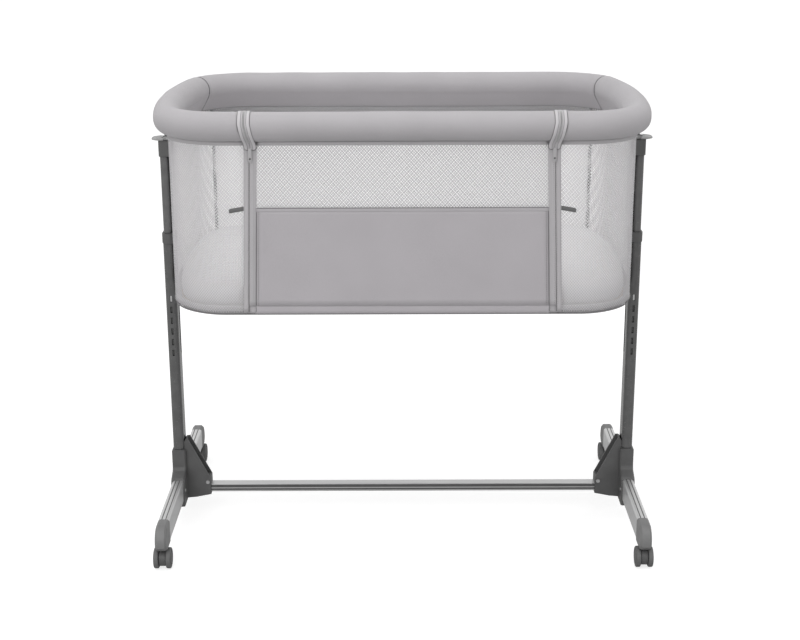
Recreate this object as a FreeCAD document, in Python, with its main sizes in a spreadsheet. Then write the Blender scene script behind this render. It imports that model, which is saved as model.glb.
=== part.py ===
import FreeCAD, Part
import math
import os
import Sketcher

# Bedside sleeper crib. Millimetres, +X to the right, +Y to the back, +Z up.
# The origin is on the floor under the middle of the crib.
# A stand of two telescopic uprights carries a basket of mesh and fabric, whose front panel
# unzips and folds down. Each side's upright, foot, lever and casters are mirror images.

DIMENSIONS = [
    # plan of the rim and the basket walls
    ("rim_half_length", 437.0),
    ("rim_half_depth", 264.0),
    ("rim_corner_radius", 110.0),
    ("end_bow_radius", 975.0),
    # padded rim
    ("rim_height", 843.0),
    ("pad_radius", 28.0),
    ("pad_end_round", 5.0),
    ("rim_tube_radius", 11.0),
    ("rim_tube_wall", 1.5),
    ("rod_radius", 8.0),
    ("split_to_corner", 30.0),
    ("back_seam_angle", 25.0),
    # basket walls
    ("soft_gap", 0.3),
    ("mesh_thickness", 2.0),
    ("band_thickness", 3.0),
    ("panel_thickness", 4.0),
    ("panel_top", 697.0),
    ("zip_to_split", 13.0),
    ("band_width", 25.0),
    ("wall_seam_angle", 47.0),
    # base of the basket
    ("tray_bottom", 499.0),
    ("tray_depth", 18.0),
    ("tray_wall", 3.0),
    ("tray_floor", 3.0),
    ("tray_bevel", 8.0),
    ("board_thickness", 6.0),
    ("board_gap", 2.0),
    ("mattress_gap", 14.0),
    ("mattress_thickness", 40.0),
    ("mattress_crown", 4.0),
    ("mattress_edge", 2.0),
    ("ring_clearance", 17.0),
    ("ring_depth_inset", 79.0),
    ("ring_corner_radius", 80.0),
    ("ring_tube_radius", 6.0),
    # uprights
    ("upright_offset", 19.0),
    ("tube_width", 22.0),
    ("tube_depth", 44.0),
    ("tube_corner", 9.0),
    ("tube_wall", 1.8),
    ("tube_top", 586.0),
    ("slide_gap", 0.5),
    ("inner_wall", 1.5),
    ("inner_bottom", 300.0),
    ("collar_top", 593.0),
    ("collar_height", 20.0),
    ("collar_wall", 1.3),
    ("slot_width", 4.0),
    ("slot_height", 12.7),
    ("slot_pitch", 22.3),
    ("slot_steps", 5.0),
    ("slot_top_height", 460.6),
    ("guide_slot_width", 12.0),
    ("guide_slot_back", 9.0),
    ("guide_slot_bottom", 340.0),
    # housing, hanger and release lever at the top of each upright
    ("housing_drop", 69.0),
    ("housing_height", 30.0),
    ("housing_inner_reach", 12.0),
    ("housing_outer_reach", 10.0),
    ("housing_depth", 44.0),
    ("housing_round", 3.0),
    ("housing_seat", 22.0),
    ("neck_thickness", 10.0),
    ("neck_depth", 28.0),
    ("clamp_radius", 17.0),
    ("clamp_length", 32.0),
    ("lever_thickness", 3.0),
    ("lever_depth", 45.0),
    ("lever_reach", 24.0),
    ("lever_lift", 1.0),
    ("lever_pivot_inset", 7.0),
    ("lever_pivot_lift", 5.0),
    ("lever_ear", 3.4),
    ("pivot_radius", 1.5),
    ("running_gap", 0.05),
    # lock inside each upright
    ("wire_radius", 1.5),
    ("wire_offset", 3.5),
    ("wire_head_radius", 3.2),
    ("wire_head_thickness", 1.5),
    ("wire_hole_radius", 2.6),
    ("wire_travel", 2.4),
    ("tongue_thickness", 3.2),
    ("tongue_height", 11.5),
    ("tongue_tail", 7.0),
    # bracket between the base ring and each inner tube
    ("block_width", 16.0),
    ("block_height", 12.0),
    ("block_back", 9.0),
    ("bolt_radius", 4.0),
    # feet
    ("foot_width", 22.0),
    ("foot_bottom", 41.0),
    ("foot_height", 45.0),
    ("foot_round", 5.0),
    ("foot_wall", 2.0),
    ("groove_width", 2.0),
    ("groove_depth", 1.5),
    ("foot_half_length", 236.0),
    ("cap_end", 288.0),
    ("cap_shoulder", 30.0),
    ("cap_nose", 8.0),
    ("cap_plug", 18.0),
    ("cap_bevel", 4.0),
    # foot brackets
    ("bracket_top", 142.0),
    ("bracket_wall", 2.5),
    ("bracket_floor", 92.0),
    ("hood_half_length", 58.0),
    ("hood_wall", 2.6),
    ("hood_bottom", 32.0),
    ("hood_shoulder", 100.0),
    ("gusset_reach", 62.0),
    ("gusset_top", 160.0),
    ("gusset_nose_top", 76.0),
    ("gusset_bottom", 38.0),
    ("gusset_depth", 30.0),
    ("gusset_wall", 3.0),
    # cross bar
    ("bar_height", 16.0),
    ("bar_depth", 23.0),
    ("bar_centre_height", 53.0),
    ("bar_inset", 24.0),
    ("bar_wall", 1.6),
    ("bar_round", 2.0),
    # screws
    ("screw_head_radius", 4.0),
    ("screw_head_height", 1.8),
    # casters
    ("caster_pivot", 250.0),
    ("caster_trail", 15.0),
    ("wheel_radius", 20.0),
    ("wheel_width", 11.0),
    ("fork_width", 12.0),
    ("fork_radius", 15.5),
    ("fork_gap", 0.3),
    ("axle_radius", 3.0),
    ("stem_radius", 4.0),
    ("stem_length", 26.0),
    # zip sliders and webbing tabs
    ("slider_width", 9.0),
    ("slider_height", 14.0),
    ("slider_thickness", 3.0),
    ("slider_drop", 31.0),
    ("puller_width", 6.0),
    ("puller_length", 26.0),
    ("puller_thickness", 1.5),
    ("tab_length", 26.0),
    ("tab_height", 9.0),
    ("tab_thickness", 1.2),
    ("tab_drop", 148.0),
]

# Places that follow from the sizes above.
DERIVED = [
    ("upright_centre", "rim_half_length + upright_offset"),
    ("ring_half_length", "upright_centre - tube_width / 2 - ring_clearance"),
    ("ring_half_depth", "rim_half_depth - ring_depth_inset"),
    ("corner_y", "rim_half_depth - rim_corner_radius"),
    ("corner_x", "rim_half_length - end_bow_radius"
     " + sqrt((end_bow_radius - rim_corner_radius)^2 - corner_y^2)"),
    ("rail_split", "corner_x - split_to_corner"),
    ("zip_centre", "rail_split - zip_to_split"),
    ("slider_top", "rim_height - slider_drop"),
    ("tab_centre_height", "rim_height - tab_drop"),
    ("housing_top", "rim_height - housing_drop"),
    ("housing_bottom", "housing_top - housing_height"),
    ("housing_inner", "upright_centre - housing_inner_reach"),
    ("housing_outer", "upright_centre + housing_outer_reach"),
    ("lever_tip", "upright_centre + lever_reach"),
    ("lever_pivot", "upright_centre - lever_pivot_inset"),
    ("lever_pivot_height", "housing_top + lever_pivot_lift"),
    ("gusset_end", "upright_centre - gusset_reach"),
]

# Flat sides that a round bar along the plan is drawn with.
PAD_SIDES = 12
TUBE_SIDES = 8
WHEEL_SIDES = 32

doc = FreeCAD.newDocument("bedside_sleeper_crib")
sheet = doc.addObject("Spreadsheet::Sheet", "dim")
cells = [(alias, str(size)) for alias, size in DIMENSIONS]
cells += [(alias, "=" + formula) for alias, formula in DERIVED]
for row, (alias, content) in enumerate(cells, start=1):
    sheet.set("A%d" % row, alias)
    sheet.setAlias("B%d" % row, alias)
    sheet.set("B%d" % row, content)
doc.recompute()

parts = []


def value(expression):
    """The number that an expression of sheet cells comes to."""
    return float(sheet.evalExpression(str(expression).replace("dim.", "")))


def keep(piece):
    """Mark a sub-part for export under its label."""
    parts.append(piece)
    return piece


# ---------------------------------------------------------------- sketch and feature helpers

def new_body(name):
    return doc.addObject("PartDesign::Body", name)


def new_sketch(body, name, role, offset="0"):
    """A sketch on one of the body's origin planes, moved along that plane's normal."""
    plane = [item for item in body.Origin.OriginFeatures if item.Role == role][0]
    sketch = body.newObject("Sketcher::SketchObject", body.Name + "_" + name)
    sketch.AttachmentSupport = [(plane, "")]
    sketch.MapMode = "FlatFace"
    sketch.setExpression("AttachmentOffset.Base.z", offset)
    return sketch


def bind(sketch, kind, geometry, position, expression):
    """Hold one coordinate of a point, from the sketch's origin, to an expression."""
    number = sketch.addConstraint(
        Sketcher.Constraint(kind, -1, 1, geometry, position, value(expression)))
    sketch.setExpression("Constraints[%d]" % number, str(expression))


def bind_radius(sketch, geometry, expression):
    number = sketch.addConstraint(Sketcher.Constraint("Radius", geometry, value(expression)))
    sketch.setExpression("Constraints[%d]" % number, str(expression))


def vector(across, up):
    return FreeCAD.Vector(across, up, 0)


def circle(sketch, across, up, radius):
    shape = Part.Circle(vector(value(across), value(up)), FreeCAD.Vector(0, 0, 1), value(radius))
    index = sketch.addGeometry(shape, False)
    bind_radius(sketch, index, radius)
    bind(sketch, "DistanceX", index, 3, across)
    bind(sketch, "DistanceY", index, 3, up)


def many_sided(sketch, across, up, radius, sides):
    """A regular outline with its corners at a radius, the first one level with the centre."""
    turns = ["%.1f * 1deg" % (360 * number / sides) for number in range(sides)]
    polygon(sketch, [("%s + (%s) * cos(%s)" % (across, radius, turn),
                      "%s + (%s) * sin(%s)" % (up, radius, turn)) for turn in turns])


def polygon(sketch, corners):
    """A closed outline of straight lines through corners given as pairs of expressions."""
    points = [vector(value(across), value(up)) for across, up in corners]
    first = None
    for number, start in enumerate(points):
        end = points[(number + 1) % len(points)]
        index = sketch.addGeometry(Part.LineSegment(start, end), False)
        if first is None:
            first = index
        else:
            sketch.addConstraint(Sketcher.Constraint("Coincident", index - 1, 2, index, 1))
        bind(sketch, "DistanceX", index, 1, corners[number][0])
        bind(sketch, "DistanceY", index, 1, corners[number][1])
    sketch.addConstraint(Sketcher.Constraint("Coincident", index, 2, first, 1))


def rectangle(sketch, left, right, low, high):
    polygon(sketch, [(left, low), (right, low), (right, high), (left, high)])


def arc(centre, radius, start_degrees, end_degrees):
    ring = Part.Circle(centre, FreeCAD.Vector(0, 0, 1), radius)
    return Part.ArcOfCircle(ring, math.radians(start_degrees), math.radians(end_degrees))


def rounded_rectangle(sketch, across, up, width, height, radius):
    """A rectangle about a centre, with round corners, held by its four sides and the radius."""
    centre_x, centre_y = value(across), value(up)
    half_w, half_h, bend = value(width) / 2, value(height) / 2, value(radius)
    corners = [(1, 1, 0), (-1, 1, 90), (-1, -1, 180), (1, -1, 270)]
    arcs = []
    for side_x, side_y, start in corners:
        middle = vector(centre_x + side_x * (half_w - bend), centre_y + side_y * (half_h - bend))
        arcs.append(sketch.addGeometry(arc(middle, bend, start, start + 90), False))
    lines = []
    for number, index in enumerate(arcs):
        following = arcs[(number + 1) % 4]
        start = sketch.getPoint(index, 2)
        end = sketch.getPoint(following, 1)
        line = sketch.addGeometry(Part.LineSegment(start, end), False)
        lines.append(line)
        sketch.addConstraint(Sketcher.Constraint("Tangent", index, 2, line, 1))
        sketch.addConstraint(Sketcher.Constraint("Tangent", line, 2, following, 1))
        bind_radius(sketch, index, radius)
    sketch.addConstraint(Sketcher.Constraint("Horizontal", lines[0]))
    sketch.addConstraint(Sketcher.Constraint("Vertical", lines[1]))
    bind(sketch, "DistanceY", lines[0], 1, "%s + (%s)/2" % (up, height))
    bind(sketch, "DistanceX", lines[1], 1, "%s - (%s)/2" % (across, width))
    bind(sketch, "DistanceY", lines[2], 1, "%s - (%s)/2" % (up, height))
    bind(sketch, "DistanceX", lines[3], 1, "%s + (%s)/2" % (across, width))


def pad(body, sketch, length, midplane=False, reverse=False):
    feature = body.newObject("PartDesign::Pad", sketch.Name + "_pad")
    feature.Profile = sketch
    feature.setExpression("Length", length)
    feature.Midplane = midplane
    feature.Reversed = reverse
    doc.recompute()
    return feature


def pocket(body, sketch, length, midplane=False, reverse=False):
    """A pocket that has to take material away."""
    before = body.Tip.Shape.Volume
    feature = body.newObject("PartDesign::Pocket", sketch.Name + "_pocket")
    feature.Profile = sketch
    feature.setExpression("Length", length)
    feature.Midplane = midplane
    feature.Reversed = reverse
    doc.recompute()
    if feature.Shape.Volume > before - 1e-6:
        raise RuntimeError(sketch.Name + " cuts nothing")
    return feature


def dress_edges(kind, body, prop, size, chosen, name):
    """Fillet or chamfer the edges of the body's tip that the chosen test picks."""
    base = body.Tip
    names = ["Edge%d" % (number + 1) for number, edge in enumerate(base.Shape.Edges) if chosen(edge)]
    if not names:
        raise RuntimeError(body.Name + " has no edge to " + name)
    feature = body.newObject(kind, body.Name + "_" + name)
    feature.Base = (base, names)
    feature.setExpression(prop, size)
    doc.recompute()


def round_edges(body, radius, chosen, name="round"):
    dress_edges("PartDesign::Fillet", body, "Radius", radius, chosen, name)


def bevel_edges(body, size, chosen, name="bevel"):
    dress_edges("PartDesign::Chamfer", body, "Size", size, chosen, name)


def upright_edge(edge):
    """True for a straight edge along Z."""
    return is_along(edge, FreeCAD.Vector(0, 0, 1))


def is_along(edge, direction):
    if edge.Curve.TypeId != "Part::GeomLine":
        return False
    tangent = edge.tangentAt(edge.FirstParameter)
    return abs(tangent.dot(direction)) > 0.999


def lies_at_height(edge, height):
    box = edge.BoundBox
    return abs(box.ZMin - height) < 0.01 and abs(box.ZMax - height) < 0.01


def mirrored(source, name, normal):
    """The other hand of a sub-part, across the middle plane with that normal."""
    copy = doc.addObject("Part::Mirroring", name)
    copy.Source = source
    copy.Normal = normal
    doc.recompute()
    return copy


def combined(kind, name, base, tool):
    feature = doc.addObject(kind, name)
    feature.Base = base
    feature.Tool = tool
    doc.recompute()
    return feature


def box_tool(name, x_low, x_high, y_low, y_high, z_low, z_high):
    """A box between six planes given as expressions."""
    block = doc.addObject("Part::Box", name)
    block.setExpression("Length", "(%s) - (%s)" % (x_high, x_low))
    block.setExpression("Width", "(%s) - (%s)" % (y_high, y_low))
    block.setExpression("Height", "(%s) - (%s)" % (z_high, z_low))
    block.setExpression("Placement.Base.x", x_low)
    block.setExpression("Placement.Base.y", y_low)
    block.setExpression("Placement.Base.z", z_low)
    doc.recompute()
    return block


LEFT_RIGHT = FreeCAD.Vector(1, 0, 0)
FRONT_BACK = FreeCAD.Vector(0, 1, 0)

RIM = ("dim.rim_half_length", "dim.rim_half_depth", "dim.rim_corner_radius")
RING = ("dim.ring_half_length", "dim.ring_half_depth", "dim.ring_corner_radius")


def plan_geometry(plan, inset):
    """Corner centre, tangent angle and end-arc centre of a plan with bowed ends."""
    half_length, half_depth, corner = [value(item) for item in plan]
    bow = value("dim.end_bow_radius")
    end_x = half_length - bow
    corner_y = half_depth - corner
    corner_x = end_x + math.sqrt((bow - corner) ** 2 - corner_y ** 2)
    angle = math.degrees(math.atan2(corner_y, corner_x - end_x))
    return end_x, bow - inset, corner_x, corner_y, corner - inset, angle


def plan_outline(sketch, plan, inset="0", split_back=False):
    """The closed plan: straight front and back, round corners and gently bowed ends.

    The outline lies inside the plan's line by the inset.
    """
    end_x, bow, corner_x, corner_y, corner, angle = plan_geometry(plan, value(inset))
    side = corner_y + corner
    shapes = [
        arc(vector(end_x, 0), bow, -angle, angle),
        arc(vector(corner_x, corner_y), corner, angle, 90),
        Part.LineSegment(vector(corner_x, side), vector(-corner_x, side)),
        arc(vector(-corner_x, corner_y), corner, 90, 180 - angle),
        arc(vector(-end_x, 0), bow, 180 - angle, 180 + angle),
        arc(vector(-corner_x, -corner_y), corner, 180 + angle, 270),
        Part.LineSegment(vector(-corner_x, -side), vector(corner_x, -side)),
        arc(vector(corner_x, -corner_y), corner, 270, 360 - angle),
    ]
    if split_back:
        shapes = [Part.LineSegment(vector(0, side), vector(-corner_x, side))] + shapes[3:] + \
            shapes[:2] + [Part.LineSegment(vector(corner_x, side), vector(0, side))]
    indices = [sketch.addGeometry(shape, False) for shape in shapes]
    for number, index in enumerate(indices):
        following = indices[(number + 1) % len(indices)]
        joint = "Coincident" if split_back and number == len(indices) - 1 else "Tangent"
        sketch.addConstraint(Sketcher.Constraint(joint, index, 2, following, 1))
    half_length, half_depth, corner_radius = plan
    for index, shape in zip(indices, shapes):
        if isinstance(shape, Part.LineSegment):
            sign = "" if shape.StartPoint.y > 0 else "-"
            sketch.addConstraint(Sketcher.Constraint("Horizontal", index))
            if split_back and index == indices[-1]:
                continue
            bind(sketch, "DistanceY", index, 1, "%s(%s - (%s))" % (sign, half_depth, inset))
            if split_back and index == indices[0]:
                bind(sketch, "DistanceX", index, 1, "0")
        elif shape.Radius > corner + 1e-6:
            sign = "" if shape.Center.x < 0 else "-"
            bind_radius(sketch, index, "dim.end_bow_radius - (%s)" % inset)
            bind(sketch, "DistanceX", index, 3,
                 "%s(%s - dim.end_bow_radius)" % (sign, half_length))
            bind(sketch, "DistanceY", index, 3, "0")
        else:
            bind_radius(sketch, index, "%s - (%s)" % (corner_radius, inset))


def pipe_round_plan(name, plan, height, radius, sides):
    """A closed bar along the plan line at a height, round but for its flat sides."""
    body = new_body(name)
    spine = new_sketch(body, "spine", "XY_Plane", height)
    plan_outline(spine, plan, split_back=True)
    profile = new_sketch(body, "section", "YZ_Plane")
    many_sided(profile, plan[1], height, radius, sides)
    doc.recompute()
    feature = body.newObject("PartDesign::AdditivePipe", name + "_pipe")
    feature.Profile = profile
    feature.Spine = (spine, [])
    doc.recompute()
    return body


def body_from(name, base):
    """A body that goes on from the shape of another object."""
    body = new_body(name)
    body.BaseFeature = base
    doc.recompute()
    return body


def prism(name, corners, low, high):
    """A tool: an upright prism over a polygon, between two heights."""
    body = new_body(name)
    outline = new_sketch(body, "outline", "XY_Plane", low)
    polygon(outline, corners)
    pad(body, outline, "(%s) - (%s)" % (high, low))
    return body


# ---------------------------------------------------------------- plan sectors

FAR = "(2 * dim.rim_half_length)"


def ray_height(angle):
    """Y where the ray from the back corner's centre at an angle meets the far side."""
    return "(dim.corner_y + (%s - dim.corner_x) * tan(%s * 1deg))" % (FAR, angle)


def end_sector(name, start, angle, low, high):
    """The right-hand end, from the front at X = start to a seam on the back corner."""
    return prism(name, [(start, "-" + FAR), (FAR, "-" + FAR), (FAR, ray_height(angle)),
                        ("dim.corner_x", "dim.corner_y"), (start, "0")], low, high)


def back_sector(name, angle, low, high):
    """The back, between the seams on the two back corners."""
    return prism(name, [("dim.corner_x", "dim.corner_y"), (FAR, ray_height(angle)), (FAR, FAR),
                        ("-" + FAR, FAR), ("-" + FAR, ray_height(angle)),
                        ("-dim.corner_x", "dim.corner_y")], low, high)


# ---------------------------------------------------------------- heights that follow

TRAY_TOP = "(dim.tray_bottom + dim.tray_depth)"
WALL_LOW = "(%s + dim.soft_gap)" % TRAY_TOP
WALL_HIGH = "(dim.rim_height - dim.pad_radius - dim.soft_gap)"
RING_HEIGHT = "(dim.tray_bottom - dim.soft_gap - dim.ring_tube_radius)"
BOLT_HEIGHT = "(%s - dim.block_height / 2)" % RING_HEIGHT
FRONT = "dim.rim_half_depth"
INNER_WIDTH = "(dim.tube_width - 2 * dim.tube_wall - 2 * dim.slide_gap)"
INNER_DEPTH = "(dim.tube_depth - 2 * dim.tube_wall - 2 * dim.slide_gap)"
INNER_CORNER = "(dim.tube_corner - dim.tube_wall - dim.slide_gap)"
BAND_INNER = "(dim.zip_centre - dim.band_width / 2)"
BAND_OUTER = "(dim.zip_centre + dim.band_width / 2)"
WIRE_X = "(dim.upright_centre + dim.wire_offset)"
LEVER_LOW = "(dim.housing_top + dim.lever_lift)"
LEVER_HIGH = "(%s + dim.lever_thickness)" % LEVER_LOW


# ---------------------------------------------------------------- padded rim

def make_rim():
    """Steel tube open at the front, in a padded sleeve sewn from three lengths."""
    bar = pipe_round_plan("rim_bar", RIM, "dim.rim_height", "dim.rim_tube_radius", TUBE_SIDES)
    core = pipe_round_plan("rim_core", RIM, "dim.rim_height",
                           "dim.rim_tube_radius - dim.rim_tube_wall", TUBE_SIDES)
    hollow = combined("Part::Cut", "rim_hollow", bar, core)
    gate = box_tool("rim_gate", "-dim.rail_split - 4 * dim.soft_gap",
                    "dim.rail_split + 4 * dim.soft_gap", "-" + FAR, "0",
                    "dim.rim_height - 2 * dim.pad_radius", "dim.rim_height + 2 * dim.pad_radius")
    keep(combined("Part::Cut", "rim_tube", hollow, gate))

    sleeve = pipe_round_plan("pad_bar", RIM, "dim.rim_height", "dim.pad_radius", PAD_SIDES)
    bore = pipe_round_plan("pad_bore", RIM, "dim.rim_height",
                           "dim.rim_tube_radius + dim.soft_gap", TUBE_SIDES)
    padding = combined("Part::Cut", "pad_ring", sleeve, bore)
    low = "dim.rim_height - 2 * dim.pad_radius"
    high = "dim.rim_height + 2 * dim.pad_radius"
    end = combined("Part::Common", "pad_end", padding,
                   end_sector("pad_end_sector", "(dim.rail_split + dim.soft_gap)",
                              "dim.back_seam_angle", low, high))
    clamp_space = new_body("clamp_space")
    ring = new_sketch(clamp_space, "ring", "XZ_Plane")
    many_sided(ring, "dim.rim_half_length", "dim.rim_height",
               "dim.clamp_radius + 2 * dim.soft_gap", PAD_SIDES)
    pad(clamp_space, ring, "dim.clamp_length + 2 * dim.soft_gap", midplane=True)
    neck = new_sketch(clamp_space, "neck", "XZ_Plane")
    rectangle(neck, "dim.housing_inner - dim.soft_gap",
              "dim.housing_inner + dim.neck_thickness + dim.soft_gap",
              "dim.housing_top", "dim.rim_height")
    pad(clamp_space, neck, "dim.neck_depth + 2 * dim.soft_gap", midplane=True)
    notched = combined("Part::Cut", "pad_end_notched", end, clamp_space)
    right = keep(body_from("rim_pad_right", notched))
    draw_in_seams(right)
    keep(mirrored(right, "rim_pad_left", LEFT_RIGHT))
    back = combined("Part::Common", "pad_back", padding,
                    back_sector("pad_back_sector", "dim.back_seam_angle", low, high))
    back_body = keep(body_from("rim_pad_back", back))
    draw_in_seams(back_body)


def draw_in_seams(body):
    """Draw the padding in at its flat sewn ends."""
    girth = 2 * PAD_SIDES * value("dim.pad_radius") * math.sin(math.pi / PAD_SIDES)
    ends = [face.OuterWire for face in body.Tip.Shape.Faces
            if face.Surface.TypeId == "Part::GeomPlane" and abs(face.OuterWire.Length - girth) < 0.1]
    rims = [edge for wire in ends for edge in wire.Edges]
    bevel_edges(body, "dim.pad_end_round",
                lambda edge: any(edge.isSame(rim) for rim in rims))


# ---------------------------------------------------------------- basket walls

def wall_ring(name, thickness, low, high):
    """A thin wall along the plan line."""
    body = new_body(name)
    outline = new_sketch(body, "outline", "XY_Plane", low)
    plan_outline(outline, RIM, "-(%s)/2" % thickness)
    plan_outline(outline, RIM, "(%s)/2" % thickness)
    pad(body, outline, "(%s) - (%s)" % (high, low))
    return body


def make_mesh_walls():
    """Mesh at both ends and at the back, sewn together on the back corners."""
    ring = wall_ring("mesh_ring", "dim.mesh_thickness", WALL_LOW, WALL_HIGH)
    right = combined("Part::Common", "mesh_right", ring,
                     end_sector("mesh_end_sector", "(%s + dim.soft_gap)" % BAND_OUTER,
                                "dim.wall_seam_angle", WALL_LOW, WALL_HIGH))
    keep(right)
    keep(mirrored(right, "mesh_left", LEFT_RIGHT))
    keep(combined("Part::Common", "mesh_back", ring,
                  back_sector("mesh_back_sector", "dim.wall_seam_angle", WALL_LOW, WALL_HIGH)))


def front_sheet(name, left, right, low, high, thickness):
    """A flat upright piece in the front wall."""
    body = new_body(name)
    outline = new_sketch(body, "outline", "XZ_Plane", FRONT)
    rectangle(outline, left, right, low, high)
    pad(body, outline, thickness, midplane=True)
    return body


def make_front():
    """The front wall: fixed zip bands, and the panel that folds down between them."""
    band = front_sheet("zip_band_right", "dim.zip_centre + dim.soft_gap / 2", BAND_OUTER,
                       WALL_LOW, WALL_HIGH, "dim.band_thickness")
    keep(band)
    keep(mirrored(band, "zip_band_left", LEFT_RIGHT))
    tape = front_sheet("zip_tape_right", BAND_INNER, "dim.zip_centre - dim.soft_gap / 2",
                       WALL_LOW, WALL_HIGH, "dim.band_thickness")
    keep(tape)
    keep(mirrored(tape, "zip_tape_left", LEFT_RIGHT))
    edge = "(%s - dim.soft_gap)" % BAND_INNER
    keep(front_sheet("front_panel", "-" + edge, edge, WALL_LOW, "dim.panel_top",
                     "dim.panel_thickness"))
    keep(front_sheet("front_mesh", "-" + edge, edge, "dim.panel_top + dim.soft_gap", WALL_HIGH,
                     "dim.mesh_thickness"))

    rail = new_body("front_rail_pad")
    section = new_sketch(rail, "section", "YZ_Plane")
    many_sided(section, "-" + FRONT, "dim.rim_height", "dim.pad_radius", PAD_SIDES)
    circle(section, "-" + FRONT, "dim.rim_height", "dim.rod_radius + dim.soft_gap")
    pad(rail, section, "2 * (dim.rail_split - dim.soft_gap)", midplane=True)
    draw_in_seams(rail)
    keep(rail)
    rod = new_body("front_rail_rod")
    section = new_sketch(rod, "section", "YZ_Plane")
    circle(section, "-" + FRONT, "dim.rim_height", "dim.rod_radius")
    pad(rod, section, "2 * (dim.rail_split - dim.pad_end_round)", midplane=True)
    keep(rod)


def make_sliders():
    """Zip slider with its hanging puller, one on each zip."""
    face = "(%s + dim.band_thickness / 2 + dim.soft_gap)" % FRONT
    body = new_body("zip_slider_right")
    block = new_sketch(body, "block", "XZ_Plane", face)
    rectangle(block, "dim.zip_centre - dim.slider_width / 2",
              "dim.zip_centre + dim.slider_width / 2",
              "dim.slider_top - dim.slider_height", "dim.slider_top")
    pad(body, block, "dim.slider_thickness")
    puller = new_sketch(body, "puller", "XZ_Plane", face + " + dim.slider_thickness")
    rectangle(puller, "dim.zip_centre - dim.puller_width / 2",
              "dim.zip_centre + dim.puller_width / 2",
              "dim.slider_top - dim.slider_height / 2 - dim.puller_length",
              "dim.slider_top - dim.slider_height / 2")
    pad(body, puller, "dim.puller_thickness")
    along = FreeCAD.Vector(0, 1, 0)
    bevel_edges(body, "dim.puller_thickness", lambda edge: is_along(edge, along))
    keep(body)
    keep(mirrored(body, "zip_slider_left", LEFT_RIGHT))


def make_webbing_tabs():
    """Short webbing tabs sewn outside the end mesh beside each zip band."""
    tab = new_body("tab_right")
    outside = FRONT + " + dim.mesh_thickness / 2 + dim.soft_gap"
    outline = new_sketch(tab, "outline", "XZ_Plane", outside)
    rectangle(outline, BAND_OUTER + " + 2 * dim.soft_gap",
              BAND_OUTER + " + 2 * dim.soft_gap + dim.tab_length",
              "dim.tab_centre_height - dim.tab_height / 2",
              "dim.tab_centre_height + dim.tab_height / 2")
    pad(tab, outline, "dim.tab_thickness")
    group("webbing_tabs", [tab, mirrored(tab, "tab_left", LEFT_RIGHT)])


def group(name, pieces):
    """Identical small pieces that share one node as separate solids."""
    holder = doc.addObject("Part::Compound", name)
    holder.Links = pieces
    doc.recompute()
    return keep(holder)


# ---------------------------------------------------------------- base of the basket

def make_tray():
    """Shallow fabric tray: a floor with a drawn-in lower edge and a low side."""
    body = new_body("base_tray")
    outline = new_sketch(body, "outline", "XY_Plane", "dim.tray_bottom")
    plan_outline(outline, RIM, "-dim.tray_wall / 2")
    pad(body, outline, "dim.tray_depth")
    bottom = value("dim.tray_bottom")
    bevel_edges(body, "dim.tray_bevel", lambda edge: lies_at_height(edge, bottom))
    hollow = new_sketch(body, "hollow", "XY_Plane", TRAY_TOP)
    plan_outline(hollow, RIM, "dim.tray_wall / 2")
    pocket(body, hollow, "dim.tray_depth - dim.tray_bevel")
    floor = new_sketch(body, "floor", "XY_Plane", "dim.tray_bottom + dim.tray_bevel")
    plan_outline(floor, RIM, "dim.tray_wall / 2 + dim.tray_bevel")
    pocket(body, floor, "dim.tray_bevel - dim.tray_floor")
    keep(body)


def make_board():
    """Stiff board that the mattress lies on."""
    body = new_body("base_board")
    outline = new_sketch(body, "outline", "XY_Plane",
                         "dim.tray_bottom + dim.tray_floor + dim.soft_gap")
    plan_outline(outline, RIM,
                 "dim.tray_wall / 2 + dim.tray_bevel + dim.board_gap")
    pad(body, outline, "dim.board_thickness")
    keep(body)


def make_mattress():
    """Mattress with drawn-in edges and a low crown."""
    low = "dim.tray_bottom + dim.tray_floor + dim.board_thickness + 2 * dim.soft_gap"
    side = "dim.mattress_gap"
    edge = "dim.mattress_edge"
    levels = [
        ("0", side + " + 2 * " + edge),
        ("2 * " + edge, side),
        ("dim.mattress_thickness - 2 * " + edge, side),
        ("dim.mattress_thickness", side + " + 6 * " + edge),
        ("dim.mattress_thickness + dim.mattress_crown", side + " + 35 * " + edge),
    ]
    body = new_body("mattress")
    sections = []
    for number, (rise, inset) in enumerate(levels):
        section = new_sketch(body, "level_%d" % number, "XY_Plane", low + " + " + rise)
        plan_outline(section, RIM, inset)
        sections.append(section)
    doc.recompute()
    loft = body.newObject("PartDesign::AdditiveLoft", "mattress_loft")
    loft.Profile = sections[0]
    loft.Sections = sections[1:]
    loft.Ruled = True
    doc.recompute()
    keep(body)


def make_base_frame():
    """Tube ring under the tray, cradled by a bracket on each inner tube."""
    keep(pipe_round_plan("base_ring", RING, RING_HEIGHT, "dim.ring_tube_radius", TUBE_SIDES))
    body = new_body("base_bracket_right")
    tube_face = "(dim.upright_centre - dim.tube_width / 2 - dim.soft_gap)"
    inner_face = "(dim.upright_centre - %s / 2)" % INNER_WIDTH
    block = new_sketch(body, "block", "XZ_Plane", "-dim.block_back")
    rectangle(block, "dim.ring_half_length - 1.5 * dim.ring_tube_radius", tube_face,
              RING_HEIGHT + " - dim.block_height", RING_HEIGHT)
    pad(body, block, "dim.block_width", midplane=True)
    cradle = new_sketch(body, "cradle", "XZ_Plane", "-dim.block_back")
    many_sided(cradle, "dim.ring_half_length", RING_HEIGHT,
               "dim.ring_tube_radius + dim.soft_gap", TUBE_SIDES)
    pocket(body, cradle, "2 * dim.block_width", midplane=True)
    bolt = new_sketch(body, "bolt", "YZ_Plane", tube_face)
    circle(bolt, "dim.block_back", BOLT_HEIGHT, "dim.bolt_radius")
    pad(body, bolt, "%s + dim.inner_wall - %s" % (inner_face, tube_face))
    keep(body)
    keep(mirrored(body, "base_bracket_left", LEFT_RIGHT))


# ---------------------------------------------------------------- uprights

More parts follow.
